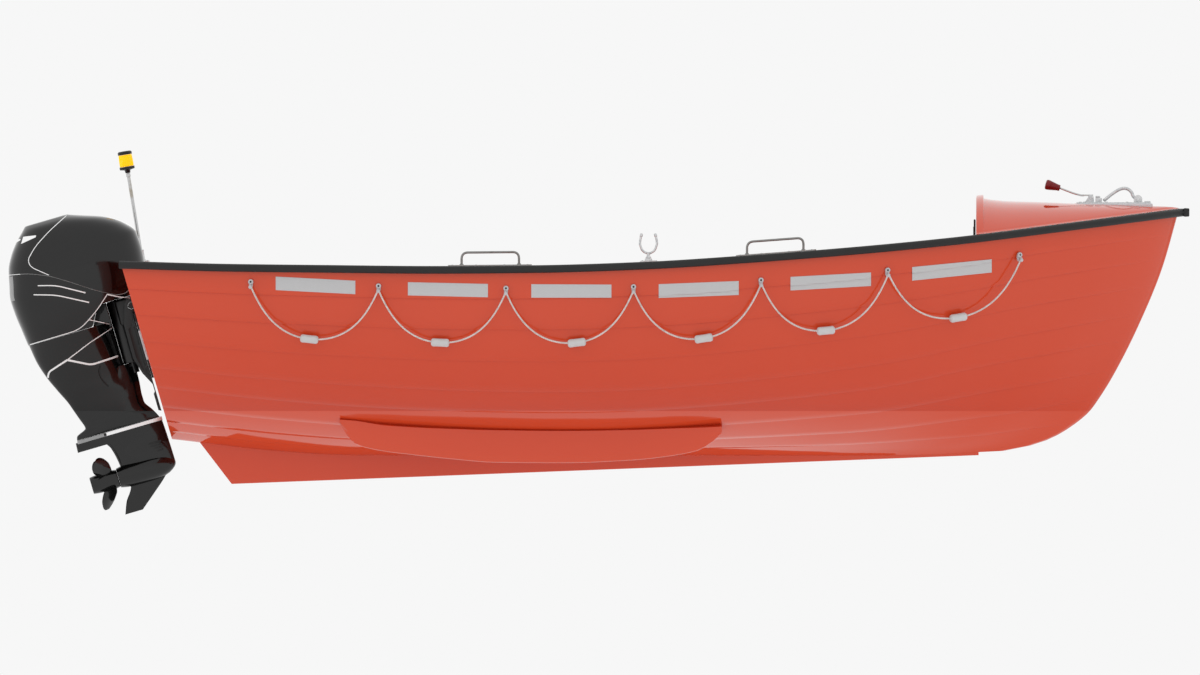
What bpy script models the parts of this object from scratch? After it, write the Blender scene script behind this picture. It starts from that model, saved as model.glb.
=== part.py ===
# Open rescue lifeboat, 4.40 m, with an outboard engine on its transom.
# Frame: +X towards the bow, +Y to port, +Z up, origin on the centreline
# amidships, in the plane of the calm water that the empty boat floats in.
# Heights in the hull tables are above the base, which is the heel of the keel.
import bisect
import math

import bmesh
import bpy
from mathutils import Matrix, Vector

# Driving dimensions in metres
LENGTH_OVER_RAIL = 4.40
BEAM_OVER_RAIL = 1.79
DRAUGHT = 0.300
GAP = 0.0003
WALL = 0.008
FIT_CLEARANCE = 0.013
RAIL_DEPTH = 0.0320
RAIL_PROUD = 0.030
RAIL_NOSE_HALF_WIDTH = 0.040
NOSE_HALF_WIDTH = 0.020
KEEL_FLAT = 0.024
LAP = 0.006

# Hull lines in side view
TRANSOM_TOP_X = -2.199
TRANSOM_TOP_HEIGHT = 0.917
TRANSOM_SLOPE = 0.2917
MID_STATION = 0.46
TRANSOM_HALF_BREADTH = 0.680
HALF_BREADTH = BEAM_OVER_RAIL / 2 - RAIL_PROUD

# Share of the length from the transom, height of the gunwale
SHEER = (
    (0.0, 0.917), (0.1, 0.905), (0.2, 0.900), (0.3, 0.896), (0.4, 0.8995),
    (0.5, 0.913), (0.6, 0.940), (0.7, 0.974), (0.8, 1.016), (0.9, 1.068),
    (1.0, 1.124),
)
# Share of the length, height of the hull's bottom beside the keel
BOTTOM = (
    (0.0, 0.184), (0.12, 0.136), (0.22, 0.118), (0.4, 0.117), (0.8, 0.117),
    (0.92, 0.120), (1.0, 0.136),
)
# Height, x of the stem's fore edge
STEM = (
    (0.117, 1.350), (0.1233, 1.3605), (0.136, 1.436), (0.148, 1.504),
    (0.1726, 1.591), (0.1973, 1.648), (0.2466, 1.726), (0.2959, 1.784),
    (0.3453, 1.821), (0.4439, 1.8825), (0.6412, 1.981), (0.8878, 2.080),
    (1.130, 2.149),
)
# Share of the length, deadrise, bottom handle, flare, side handle
SECTIONS = (
    (0.0, 16.0, 0.42, 4.0, 0.42),
    (0.46, 9.0, 0.63, 3.0, 0.48),
    (0.75, 17.0, 0.50, 7.0, 0.46),
    (0.9, 36.0, 0.30, 13.0, 0.42),
    (1.0, 90.0, 0.30, 0.0, 0.40),
)
# Share of the girth, from the keel, at each strake's lower edge
STRAKES = (0.0, 0.11, 0.21, 0.33, 0.455, 0.56, 0.68, 0.79, 0.892, 1.0)
STATIONS = (
    0.0, 0.0107, 0.04, 0.08, 0.12, 0.16, 0.2, 0.25, 0.3, 0.35, 0.4, 0.45, 0.5,
    0.55, 0.6, 0.65, 0.7, 0.74, 0.78, 0.81, 0.84, 0.87, 0.9, 0.925, 0.95,
    0.97, 0.985, 1.0,
)
INNER_GIRTH = (0.0, 0.12, 0.26, 0.4, 0.52, 0.65, 0.8, 1.0)
CAVITY_START = 0.0107
CAVITY_END = 0.97
# Where the hull's mouldings meet: height over the bilge, x along the sides, station at the stem
BILGE_SPLIT_HEIGHT = 0.262
SIDE_SPLITS = (-0.95, 0.25, 1.2985)
SIDE_NAMES = ("side_aft", "side_mid", "side_fore", "bow_side")
STEM_SPLIT = 0.965
# Limits of cutting shapes, all outside the boat
OUTSIDE_AFT = -2.7
OUTSIDE_FORE = 2.4
OUTSIDE_Y = 1.2
OUTSIDE_LOW_HEIGHT = -0.10
OUTSIDE_TOP_HEIGHT = 1.40

# Gunwale flange, transom cut-out, keel and bilge fins
FLANGE_WIDTH = 0.060
FLANGE_DEPTH = 0.022
WELL_HALF_WIDTH = 0.300
WELL_BOTTOM_HEIGHT = 0.707
KEEL_HALF_TOP = 0.0235
KEEL_HALF_BOTTOM = 0.019
KEEL_ROOT = 0.004
ROOT_GAP = 0.0006
# x of the keel's top, its bottom, height of the bottom
KEEL = (
    (-1.874, -1.739, 0.000), (-0.90, -0.80, 0.0362), (0.25, 0.30, 0.0786),
    (1.20, 1.20, 0.1132), (1.33, 1.33, 0.1182),
)
FIN_OUTER_Y = 0.460
FIN_INNER_Y = 0.370
FIN_TAPER = 0.015
FIN_ROOT_RISE = 0.030
# x, height of a bilge fin's lower edge, height of its upper edge
FIN = (
    (-1.296, 0.250, 0.264), (-1.234, 0.165, 0.260), (-1.130, 0.137, 0.243),
    (-0.999, 0.120, 0.233), (-0.830, 0.102, 0.226), (-0.660, 0.0884, 0.221),
    (-0.378, 0.0863, 0.218), (-0.096, 0.0974, 0.222), (0.050, 0.113, 0.227),
    (0.174, 0.137, 0.231), (0.240, 0.175, 0.234), (0.275, 0.210, 0.236),
)

# Inside arrangement
SOLE_HEIGHT = 0.270
SOLE_THICKNESS = 0.020
BENCH_HEIGHT = 0.620
BENCH_INNER_Y = 0.480
THWART_THICKNESS = 0.030
THWART_HALF_SPAN = 0.700
# Name, x of the aft edge, x of the fore edge
THWARTS = (("aft_thwart", -1.36, -1.08), ("mid_thwart", 0.20, 0.46))
BULKHEAD_X = 1.318
BULKHEAD_THICKNESS = 0.020
BULKHEAD_FOOT_HEIGHT = 0.24
CROWN_FOOT_HEIGHT = 0.95
CROWN_STEP = 0.002
BENCH_AFT_X = -1.90
SOLE_AFT_X = -1.72
KEELSON_HALF_WIDTH = 0.022

# Foredeck: station, rise of the crown above the gunwale
DECK_CROWN = (
    (0.8152, 0.151), (0.8218, 0.151), (0.822, 0.134), (0.84, 0.116),
    (0.87, 0.0955), (0.9, 0.0741), (0.925, 0.0565), (0.95, 0.0386),
    (0.97, 0.024), (0.985, 0.0135),
)
DECK_SKIN = 0.008
DECK_EDGE = 0.012
DECK_INSET = 0.010
HATCH_SIZE = (0.010, 0.46, 0.30)
HATCH_LAP = 0.030
HATCH_TOP_HEIGHT = 1.088
HOOK_PAD_TOP = 1.1535

# Hook, as x and height above the base
HOOK_PIVOT = (1.9853, 1.1705)
LEVER_PIVOT = (1.7910, 1.1765)
HOOK_PLATE_TOP = 1.1580

# Small fittings on the gunwale
# x of the aft end of the plate, of the aft leg, of the fore leg, of the fore end
HANDRAILS = (
    ("aft", -0.851, -0.795, -0.559, -0.506),
    ("fore", 0.333, 0.378, 0.610, 0.662),
)
HANDRAIL_RISE = 0.058
HANDRAIL_RADIUS = 0.0048
ROWLOCK_X = -0.027
# x, height of the eyes that carry the grab lines
EYES = (
    (-1.6617, 0.834), (-1.1344, 0.8015), (-0.6124, 0.797), (-0.0884, 0.8015),
    (0.4377, 0.826), (0.9577, 0.871), (1.4961, 0.929),
)
ROPE_RADIUS = 0.004
ROPE_SAG = 0.193
ROPE_POINTS = 11
ROPE_START = 0.003
CATENARY = 0.70
EYE_DROP = 0.022
EYE_REACH = 0.016
ROPE_CLEAR = 0.016
FLOAT_RADIUS = 0.0165
FLOAT_LENGTH = 0.074

# Light pole, leaning aft
POLE_LEAN = math.radians(9.3)
POLE_FOOT = (-2.107, 0.648, 0.9165)
POLE_LENGTH = 0.366
POLE_RADIUS = 0.007

# Outboard engine, in its own frame: x forward, z up the drive shaft,
# origin on the steering axis, leaning with the transom
ENGINE_LEAN = math.atan(TRANSOM_SLOPE)
ENGINE_HEIGHT = 0.7069
TRANSOM_FACE_X = 0.067
ENGINE_X = (TRANSOM_TOP_X + (TRANSOM_TOP_HEIGHT - ENGINE_HEIGHT) * TRANSOM_SLOPE
            - TRANSOM_FACE_X / math.cos(ENGINE_LEAN))
TILT_X = 0.060
TILT_Z = 0.010
PAD_THICKNESS = 0.008
PROPELLER_Z = -0.656
# Angle of the first blade about the shaft, in degrees
BLADE_ANGLE = 156
# z, x of the back, x of the front, half width: the cowl and the body below it
COWL = (
    (-0.190, -0.352, 0.000, 0.060),
    (-0.130, -0.372, 0.004, 0.085),
    (-0.080, -0.384, 0.006, 0.110),
    (-0.028, -0.393, 0.012, 0.135),
    (0.040, -0.401, 0.075, 0.160),
    (0.100, -0.408, 0.140, 0.175),
    (0.165, -0.411, 0.163, 0.185),
    (0.230, -0.398, 0.168, 0.188),
    (0.295, -0.382, 0.164, 0.182),
    (0.345, -0.356, 0.126, 0.168),
    (0.390, -0.322, 0.060, 0.145),
    (0.425, -0.287, -0.035, 0.112),
    (0.4445, -0.268, -0.092, 0.060),
)
COWL_TOP = 0.4445
COWL_SKIN = 0.006
SEAM_GAP = 0.001
# x, z of the underside of the lower cowl, from the back
COWL_FLOOR = ((-0.45, -0.0297), (-0.115, -0.0297), (-0.085, 0.030), (-0.055, 0.051),
              (0.25, 0.051))
TILLER_X = 0.214
TILLER_Z = 0.118
TILLER_KNUCKLE = 0.0215
TILLER_ROD = 0.014
# x, z of the seam under the upper cowl, from the back
UPPER_SEAM = ((-0.45, 0.285), (-0.311, 0.256), (-0.230, 0.223), (-0.154, 0.174),
              (-0.064, 0.112), (0.022, 0.066), (0.070, 0.070), (0.100, 0.160), (0.25, 0.165))
# z, x of the back, x of the front, half width of the leg
LEG = (
    (-0.030, -0.390, -0.037, 0.118),
    (-0.100, -0.380, -0.037, 0.085),
    (-0.180, -0.356, -0.037, 0.062),
    (-0.240, -0.330, -0.036, 0.048),
    (-0.2590, -0.3213, -0.036, 0.0455),
    (-0.300, -0.302, -0.002, 0.040),
    (-0.349, -0.2855, 0.000, 0.036),
    (-0.380, -0.275, 0.000, 0.034),
    (-0.422, -0.2625, 0.024, 0.031),
    (-0.445, -0.305, 0.037, 0.029),
    (-0.461, -0.3095, 0.044, 0.028),
)
# x, z of the leg's neck under the lower cowl
LEG_NECK = ((-0.1146, -0.0305), (-0.0846, 0.0290), (-0.0547, 0.0500), (-0.037, 0.0505),
            (-0.037, -0.0500), (-0.100, -0.0500))
LEG_NECK_HALF_WIDTH = 0.045
# z, x of the back, x of the front, half width of the trim tab under the plate
TRIM_TAB = ((-0.470, -0.3180, -0.100, 0.022), (-0.510, -0.3205, -0.120, 0.018))
# x, z of a clamp bracket's outline below its tilt tube, then along the transom and its hook
CLAMP_AFT = ((0.008, -0.060), (0.006, -0.200), (0.0335, -0.307), (0.0518, -0.356),
             (0.0470, -0.364), (0.0470, -0.434))
SWIVEL_TOP = 0.0485
SWIVEL_FOOT = -0.2585
SWIVEL_RADIUS = 0.0345
# Angle of the tiller at rest, below the engine's own level
TILLER_DROOP = math.radians(19.5)
# z, x of the back, x of the front, half width of the strut below the plate
STRUT = ((-0.470, -0.235, 0.050, 0.028), (-0.530, -0.185, 0.053, 0.026),
         (-0.600, -0.170, 0.055, 0.032), (-0.656, -0.165, 0.056, 0.030))
# z, x of the back, x of the front, half width of the skeg
SKEG = ((-0.650, -0.150, 0.040, 0.020), (-0.700, -0.150, 0.000, 0.010),
        (-0.760, -0.185, -0.070, 0.006), (-0.808, -0.204, -0.129, 0.003))

# Colours as linear red, green and blue, then roughness and metallic
FINISHES = {
    "hull_red": ((0.572, 0.087, 0.050), 0.25, 0.0),
    "interior_orange": ((0.572, 0.100, 0.060), 0.45, 0.0),
    "rubber_black": ((0.025, 0.025, 0.025), 0.65, 0.0),
    "thwart_white": ((0.68, 0.68, 0.66), 0.40, 0.0),
    "hatch_black": ((0.02, 0.02, 0.02), 0.40, 0.0),
    "stainless": ((0.60, 0.61, 0.62), 0.22, 1.0),
    "galvanised": ((0.48, 0.49, 0.50), 0.45, 1.0),
    "lens_yellow": ((1.0, 0.60, 0.0), 0.20, 0.0),
    "lamp_black": ((0.02, 0.02, 0.02), 0.35, 0.0),
    "grip_red": ((0.26, 0.008, 0.014), 0.40, 0.0),
    "engine_black": ((0.036, 0.036, 0.036), 0.28, 0.0),
    "bracket_black": ((0.03, 0.03, 0.03), 0.40, 0.3),
    "bracket_grey": ((0.30, 0.31, 0.32), 0.45, 0.6),
    "rope_white": ((0.72, 0.68, 0.66), 0.80, 0.0),
    "block_grey": ((0.16, 0.16, 0.17), 0.60, 0.5),
}


def up(height):
    return height - DRAUGHT


def blend_table(table, key, column=1):
    """Smooth value of a table at a key, through every row."""
    keys = [row[0] for row in table]
    values = [row[column] for row in table]
    last = len(keys) - 1
    if key <= keys[0]:
        return values[0]
    if key >= keys[last]:
        return values[last]
    i = bisect.bisect_right(keys, key) - 1

    def slope(j):
        if j == 0:
            return (values[1] - values[0]) / (keys[1] - keys[0])
        if j == last:
            return (values[j] - values[j - 1]) / (keys[j] - keys[j - 1])
        before = (values[j] - values[j - 1]) / (keys[j] - keys[j - 1])
        after = (values[j + 1] - values[j]) / (keys[j + 1] - keys[j])
        if before * after <= 0:
            return 0.0
        return 2 * before * after / (before + after)

    step = keys[i + 1] - keys[i]
    u = (key - keys[i]) / step
    start = values[i] * (1 + 2 * u) * (1 - u) ** 2
    end = values[i + 1] * u * u * (3 - 2 * u)
    start_slope = slope(i) * step * u * (1 - u) ** 2
    end_slope = slope(i + 1) * step * u * u * (u - 1)
    return start + end + start_slope + end_slope


# Scene, collections and materials

for old in list(bpy.data.objects):
    bpy.data.objects.remove(old, do_unlink=True)

PARTS = bpy.data.collections.new("rescue_lifeboat")
CUTTERS = bpy.data.collections.new("cutters")
bpy.context.scene.collection.children.link(PARTS)
bpy.context.scene.collection.children.link(CUTTERS)


def finish(name):
    found = bpy.data.materials.get(name)
    if found:
        return found
    colour, roughness, metallic = FINISHES[name]
    made = bpy.data.materials.new(name)
    made.use_nodes = True
    made.diffuse_color = (*colour, 1.0)
    shader = made.node_tree.nodes["Principled BSDF"]
    shader.inputs["Base Color"].default_value = (*colour, 1.0)
    shader.inputs["Roughness"].default_value = roughness
    shader.inputs["Metallic"].default_value = metallic
    return made


def add_part(name, mesh, material, smooth=30.0):
    mesh.name = name
    mesh.materials.clear()
    mesh.materials.append(finish(material))
    if smooth:
        mesh.shade_smooth()
        mesh.set_sharp_from_angle(angle=math.radians(smooth))
    made = bpy.data.objects.new(name, mesh)
    PARTS.objects.link(made)
    return made


def add_tool(name, mesh):
    made = bpy.data.objects.new(name, mesh)
    made.hide_render = True
    made.display_type = "WIRE"
    CUTTERS.objects.link(made)
    return made


def boolean(target, tool, operation):
    step = target.modifiers.new(tool.name, "BOOLEAN")
    step.operation = operation
    step.solver = "EXACT"
    step.object = tool


def carve(target, *tools):
    for tool in tools:
        boolean(target, tool, "DIFFERENCE")


def unite(target, *tools):
    for tool in tools:
        boolean(target, tool, "UNION")


def keep_inside(target, tool):
    boolean(target, tool, "INTERSECT")


# Basic shapes, each returned as a mesh in place

def to_mesh(work, place=None):
    mesh = bpy.data.meshes.new("shape")
    if place is not None:
        work.transform(place)
    work.to_mesh(mesh)
    work.free()
    return mesh


def box(size, centre, bevel=0.0, place=None):
    work = bmesh.new()
    bmesh.ops.create_cube(work, size=1.0)
    bmesh.ops.scale(work, vec=size, verts=work.verts)
    if bevel:
        bmesh.ops.bevel(work, geom=work.edges[:], offset=bevel, segments=1,
                        profile=0.5, affect="EDGES")
    bmesh.ops.translate(work, vec=centre, verts=work.verts)
    return to_mesh(work, place)


def span_box(low, high, bevel=0.0, place=None):
    size = [b - a for a, b in zip(low, high)]
    centre = [(a + b) / 2 for a, b in zip(low, high)]
    return box(size, centre, bevel, place)


def along(start, end):
    """Matrix that takes the z axis to the line from start to end."""
    start = Vector(start)
    end = Vector(end)
    turn = (end - start).to_track_quat("Z", "Y").to_matrix().to_4x4()
    return Matrix.Translation((start + end) / 2) @ turn


def cylinder(start, end, radius, radius_end=None, segments=20, place=None):
    work = bmesh.new()
    length = (Vector(end) - Vector(start)).length
    second = radius if radius_end is None else radius_end
    bmesh.ops.create_cone(work, cap_ends=True, segments=segments, radius1=radius,
                          radius2=second, depth=length)
    work.transform(along(start, end))
    return to_mesh(work, place)


def bead(centre, radius, length, segments=8, rows=6):
    """A ball drawn out along z to the given length."""
    work = bmesh.new()
    bmesh.ops.create_uvsphere(work, u_segments=segments, v_segments=rows, radius=1.0)
    bmesh.ops.scale(work, vec=(radius, radius, length / 2), verts=work.verts)
    bmesh.ops.translate(work, vec=centre, verts=work.verts)
    return to_mesh(work)


def rings_mesh(rings, place=None):
    """Solid skin over rings of points, each ring mirrored end to end."""
    work = bmesh.new()
    rows = [[work.verts.new(point) for point in ring] for ring in rings]
    count = len(rows[0])
    for near, far in zip(rows, rows[1:]):
        for i in range(count):
            j = (i + 1) % count
            work.faces.new((near[i], near[j], far[j], far[i]))
    for row, flip in ((rows[0], True), (rows[-1], False)):
        for i in range(count // 2 - 1):
            face = [row[i], row[i + 1], row[count - 2 - i], row[count - 1 - i]]
            work.faces.new(face[::-1] if flip else face)
    bmesh.ops.recalc_face_normals(work, faces=work.faces)
    return to_mesh(work, place)


def tube_mesh(rings, place=None):
    """Solid skin over rings of points, closed by one flat face at each end."""
    work = bmesh.new()
    rows = [[work.verts.new(point) for point in ring] for ring in rings]
    count = len(rows[0])
    for near, far in zip(rows, rows[1:]):
        for i in range(count):
            j = (i + 1) % count
            work.faces.new((near[i], near[j], far[j], far[i]))
    work.faces.new(rows[0])
    work.faces.new(rows[-1])
    bmesh.ops.recalc_face_normals(work, faces=work.faces)
    return to_mesh(work, place)


def curve_mesh(curve):
    holder = bpy.data.objects.new("shape", curve)
    bpy.context.scene.collection.objects.link(holder)
    bpy.context.view_layer.update()
    graph = bpy.context.evaluated_depsgraph_get()
    mesh = bpy.data.meshes.new_from_object(holder.evaluated_get(graph))
    bpy.data.objects.remove(holder, do_unlink=True)
    work = bmesh.new()
    work.from_mesh(mesh)
    bpy.data.meshes.remove(mesh)
    bmesh.ops.remove_doubles(work, verts=work.verts, dist=0.00002)
    bmesh.ops.recalc_face_normals(work, faces=work.faces)
    return work


def rod(points, radius, resolution=3, place=None):
    """Round bar through the points, with flat ends."""
    curve = bpy.data.curves.new("rod", "CURVE")
    curve.dimensions = "3D"
    curve.bevel_depth = radius
    curve.bevel_resolution = resolution
    curve.use_fill_caps = True
    spline = curve.splines.new("POLY")
    spline.points.add(len(points) - 1)
    for target, point in zip(spline.points, points):
        target.co = (*point, 1.0)
    return to_mesh(curve_mesh(curve), place)


def plate(outline, half_thickness, y=0.0, place=None):
    """Flat outline of x and z, as thick as asked on each side of y."""
    curve = bpy.data.curves.new("plate", "CURVE")
    curve.dimensions = "2D"
    curve.fill_mode = "BOTH"
    curve.extrude = half_thickness
    spline = curve.splines.new("POLY")
    spline.points.add(len(outline) - 1)
    for target, (x, z) in zip(spline.points, outline):
        target.co = (x, z, 0.0, 1.0)
    spline.use_cyclic_u = True
    work = curve_mesh(curve)
    work.transform(Matrix.Translation((0.0, y, 0.0)) @ Matrix.Rotation(math.pi / 2, 4, "X"))
    return to_mesh(work, place)


def arc(centre, radius, start, end, count):
    """Points of x and z round a centre, angles in degrees."""
    angles = [math.radians(start + (end - start) * i / (count - 1)) for i in range(count)]
    return [(centre[0] + radius * math.cos(a), centre[1] + radius * math.sin(a)) for a in angles]


def turned(profile, start, end, segments=24, place=None):
    """Solid of revolution: rows of radius and distance along the axis."""
    work = bmesh.new()
    points = [work.verts.new((radius, 0.0, z)) for radius, z in profile]
    edges = [work.edges.new(pair) for pair in zip(points, points[1:])]
    bmesh.ops.spin(work, geom=points + edges, cent=(0, 0, 0), axis=(0, 0, 1),
                   angle=2 * math.pi, steps=segments, use_duplicate=False)
    bmesh.ops.remove_doubles(work, verts=work.verts, dist=0.00005)
    bmesh.ops.dissolve_degenerate(work, edges=work.edges, dist=0.00002)
    bmesh.ops.recalc_face_normals(work, faces=work.faces)
    start = Vector(start)
    turn = (Vector(end) - start).to_track_quat("Z", "Y").to_matrix().to_4x4()
    work.transform(Matrix.Translation(start) @ turn)
    return to_mesh(work, place)


# Hull surface

def half_breadth(t):
    if t <= MID_STATION:
        share = (MID_STATION - t) / MID_STATION
        return HALF_BREADTH - (HALF_BREADTH - TRANSOM_HALF_BREADTH) * share ** 2
    share = (t - MID_STATION) / (1 - MID_STATION)
    fine = HALF_BREADTH * (1 - share ** 2.6) ** 0.85
    return max(fine, NOSE_HALF_WIDTH)


def hull_x(t, height):
    aft = TRANSOM_TOP_X + (TRANSOM_TOP_HEIGHT - height) * TRANSOM_SLOPE
    fore = blend_table(STEM, height)
    return aft + (fore - aft) * t


def section_curve(t, samples=80):
    """Smooth section from the keel to the gunwale, as half breadth and height."""
    bottom = blend_table(BOTTOM, t)
    top = blend_table(SHEER, t)
    breadth = half_breadth(t)
    deadrise = math.radians(blend_table(SECTIONS, t, 1))
    low_handle = min(blend_table(SECTIONS, t, 2), 0.75 * breadth + 0.1)
    flare = math.radians(blend_table(SECTIONS, t, 3))
    high_handle = blend_table(SECTIONS, t, 4)
    base = min(KEEL_FLAT, breadth)
    p0 = Vector((base, bottom))
    p1 = p0 + low_handle * Vector((math.cos(deadrise), math.sin(deadrise)))
    p3 = Vector((breadth, top))
    p2 = p3 - high_handle * Vector((math.sin(flare), math.cos(flare)))
    points = []
    for i in range(samples + 1):
        u = i / samples
        low = p0 * (1 - u) ** 3 + p1 * 3 * u * (1 - u) ** 2
        high = p2 * 3 * u * u * (1 - u) + p3 * u ** 3
        points.append(low + high)
    return points


def at_girth(points, shares):
    """Points and outward normals at shares of the section's length."""
    lengths = [0.0]
    for a, b in zip(points, points[1:]):
        lengths.append(lengths[-1] + (b - a).length)
    found = []
    for share in shares:
        goal = share * lengths[-1]
        i = min(max(bisect.bisect_right(lengths, goal) - 1, 0), len(points) - 2)
        u = (goal - lengths[i]) / (lengths[i + 1] - lengths[i])
        along_line = (points[i + 1] - points[i]).normalized()
        normal = Vector((along_line.y, -along_line.x))
        found.append((points[i].lerp(points[i + 1], u), normal))
    return found


def strake_profile(t, clear=0.0):
    """Half section outside, keel to gunwale, each strake lapped over the one below."""
    points = section_curve(t)
    lap = LAP * min(1.0, (1.0 - t) / 0.08)
    profile = []
    for low, high in zip(STRAKES, STRAKES[1:]):
        (foot, outward), (head, across) = at_girth(points, (max(low - clear, 0.0), high - clear))
        proud = 0.0 if low == 0.0 else lap
        profile.append(foot + outward * (proud + clear))
        profile.append(head + across * clear)
    return profile


def inner_profile(t, inset):
    points = section_curve(t)
    profile = []
    for point, normal in at_girth(points, INNER_GIRTH):
        moved = point - normal * inset
        profile.append(Vector((max(moved.x, 0.004), moved.y)))
    return profile


def ring_from(profile, t, lift=0.0):
    """Whole ring of a half section: starboard gunwale, keel, port gunwale."""
    port = [(hull_x(t, p.y), p.x, up(p.y) + lift) for p in profile]
    starboard = [(x, -y, z) for x, y, z in port]
    return starboard[::-1] + port


def gunwale_point(t):
    height = blend_table(SHEER, t)
    return hull_x(t, height), half_breadth(t), up(height)


GUNWALE = [gunwale_point(t) for t in STATIONS]


def gunwale_at(x):
    """Half breadth and z of the gunwale's top at x, on the hull's own facets."""
    for a, b in zip(GUNWALE, GUNWALE[1:]):
        if a[0] <= x <= b[0]:
            u = (x - a[0]) / (b[0] - a[0])
            return a[1] + (b[1] - a[1]) * u, a[2] + (b[2] - a[2]) * u
    return GUNWALE[-1][1], GUNWALE[-1][2]


def station_y(t, height):
    """Half breadth of a station's outer skin at a height, over the strakes' laps."""
    profile = strake_profile(t)
    widest = 0.0
    for a, b in zip(profile, profile[1:]):
        if min(a.y, b.y) <= height <= max(a.y, b.y) and abs(b.y - a.y) > 1e-6:
            u = (height - a.y) / (b.y - a.y)
            widest = max(widest, a.x + (b.x - a.x) * u)
    return widest


def hull_side_y(x, height):
    """Half breadth of the skin at x and a height, on the facets between stations."""
    for aft, fore in zip(STATIONS, STATIONS[1:]):
        start, end = hull_x(aft, height), hull_x(fore, height)
        if start <= x <= end:
            u = (x - start) / (end - start)
            return station_y(aft, height) * (1 - u) + station_y(fore, height) * u
    return 0.0


def inner_stations(end=CAVITY_END):
    return [t for t in STATIONS if CAVITY_START <= t <= end]


def inner_solid(inset, start=CAVITY_START):
    """Space inside the hull up to the underside of the gunwale flange."""
    rings = []
    for t in inner_stations():
        if t < start:
            continue
        profile = inner_profile(t, inset)
        ceiling = blend_table(SHEER, t) - FLANGE_DEPTH - (inset - WALL)
        for point in profile:
            point.y = min(point.y, ceiling)
        rings.append(ring_from(profile, t))
    return rings_mesh(rings)


def flange_opening():
    """Space inside the gunwale flange, open to the sky."""
    rings = []
    for t in inner_stations(0.95):
        x, breadth, z = gunwale_point(t)
        inner = breadth - FLANGE_WIDTH
        low = z - FLANGE_DEPTH - 0.012
        high = z + 0.05
        shift = 0.05 if t == CAVITY_START else 0.0
        rings.append([(x + shift, -inner, high), (x + shift, -inner, low),
                      (x + shift, inner, low), (x + shift, inner, high)])
    return rings_mesh(rings)


def zone_tool(name, outline, low, high):
    """Space over an outline of x and z, between two values of y."""
    return add_tool(name, plate(outline, (high - low) / 2, (high + low) / 2))


def leaning_line(t, low, high, shift):
    """Points along a station in side view, from low to high, moved along x."""
    steps = 8
    heights = [low + (high - low) * i / steps for i in range(steps + 1)]
    return [(hull_x(t, height) + shift, up(height)) for height in heights]


def hull_zones():
    """Name of each hull moulding, its outline in side view and its range of y."""
    half = GAP / 2
    base, top, bilge = OUTSIDE_LOW_HEIGHT, OUTSIDE_TOP_HEIGHT, up(BILGE_SPLIT_HEIGHT)
    whole = (-OUTSIDE_Y, OUTSIDE_Y)
    board = leaning_line(CAVITY_START, base, top, -half)
    zones = [("transom", [(OUTSIDE_AFT, up(base)), *board, (OUTSIDE_AFT, up(top))], *whole)]
    foot = leaning_line(CAVITY_START, base, BILGE_SPLIT_HEIGHT, half)
    foot[-1] = (foot[-1][0], bilge - half)
    zones.append(("hull_bottom", [*foot, (OUTSIDE_FORE, bilge - half),
                                  (OUTSIDE_FORE, up(base))], *whole))
    edges = [leaning_line(CAVITY_START, BILGE_SPLIT_HEIGHT, top, half)[::-1]]
    for x in SIDE_SPLITS:
        edges.append([(x - half, up(top)), (x - half, bilge)])
        edges.append([(x + half, up(top)), (x + half, bilge)])
    edges.append(leaning_line(STEM_SPLIT, BILGE_SPLIT_HEIGHT, top, -half)[::-1])
    for name, start, end in zip(SIDE_NAMES, edges[0::2], edges[1::2]):
        outline = [(x, max(z, bilge + half)) for x, z in start + end[::-1]]
        zones.append((name + "_port", outline, half, OUTSIDE_Y))
        zones.append((name + "_stbd", outline, -OUTSIDE_Y, -half))
    nose = leaning_line(STEM_SPLIT, BILGE_SPLIT_HEIGHT, top, half)
    nose = [(x, max(z, bilge + half)) for x, z in nose]
    zones.append(("stem", [*nose, (OUTSIDE_FORE, up(top)), (OUTSIDE_FORE, bilge + half)],
                  *whole))
    return zones


def hull_skin(clear):
    """Solid inside the hull's outer skin, the skin moved out by a clearance."""
    mesh = rings_mesh([ring_from(strake_profile(t, clear), t) for t in STATIONS])
    work = bmesh.new()
    work.from_mesh(mesh)
    bmesh.ops.triangulate(work, faces=work.faces, quad_method="FIXED")
    return to_mesh(work)


def hull_bottom_at(x):
    """Height of the hull's bottom beside the keel at x."""
    height = blend_table(BOTTOM, 0.5)
    for _ in range(8):
        aft, fore = hull_x(0.0, height), hull_x(1.0, height)
        height = blend_table(BOTTOM, (x - aft) / (fore - aft))
    return height


def keel_rows(steps=5):
    """The keel's rows with more between them."""
    found = [KEEL[0]]
    for start, end in zip(KEEL, KEEL[1:]):
        for i in range(1, steps + 1):
            found.append([a + (b - a) * i / steps for a, b in zip(start, end)])
    return found


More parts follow.
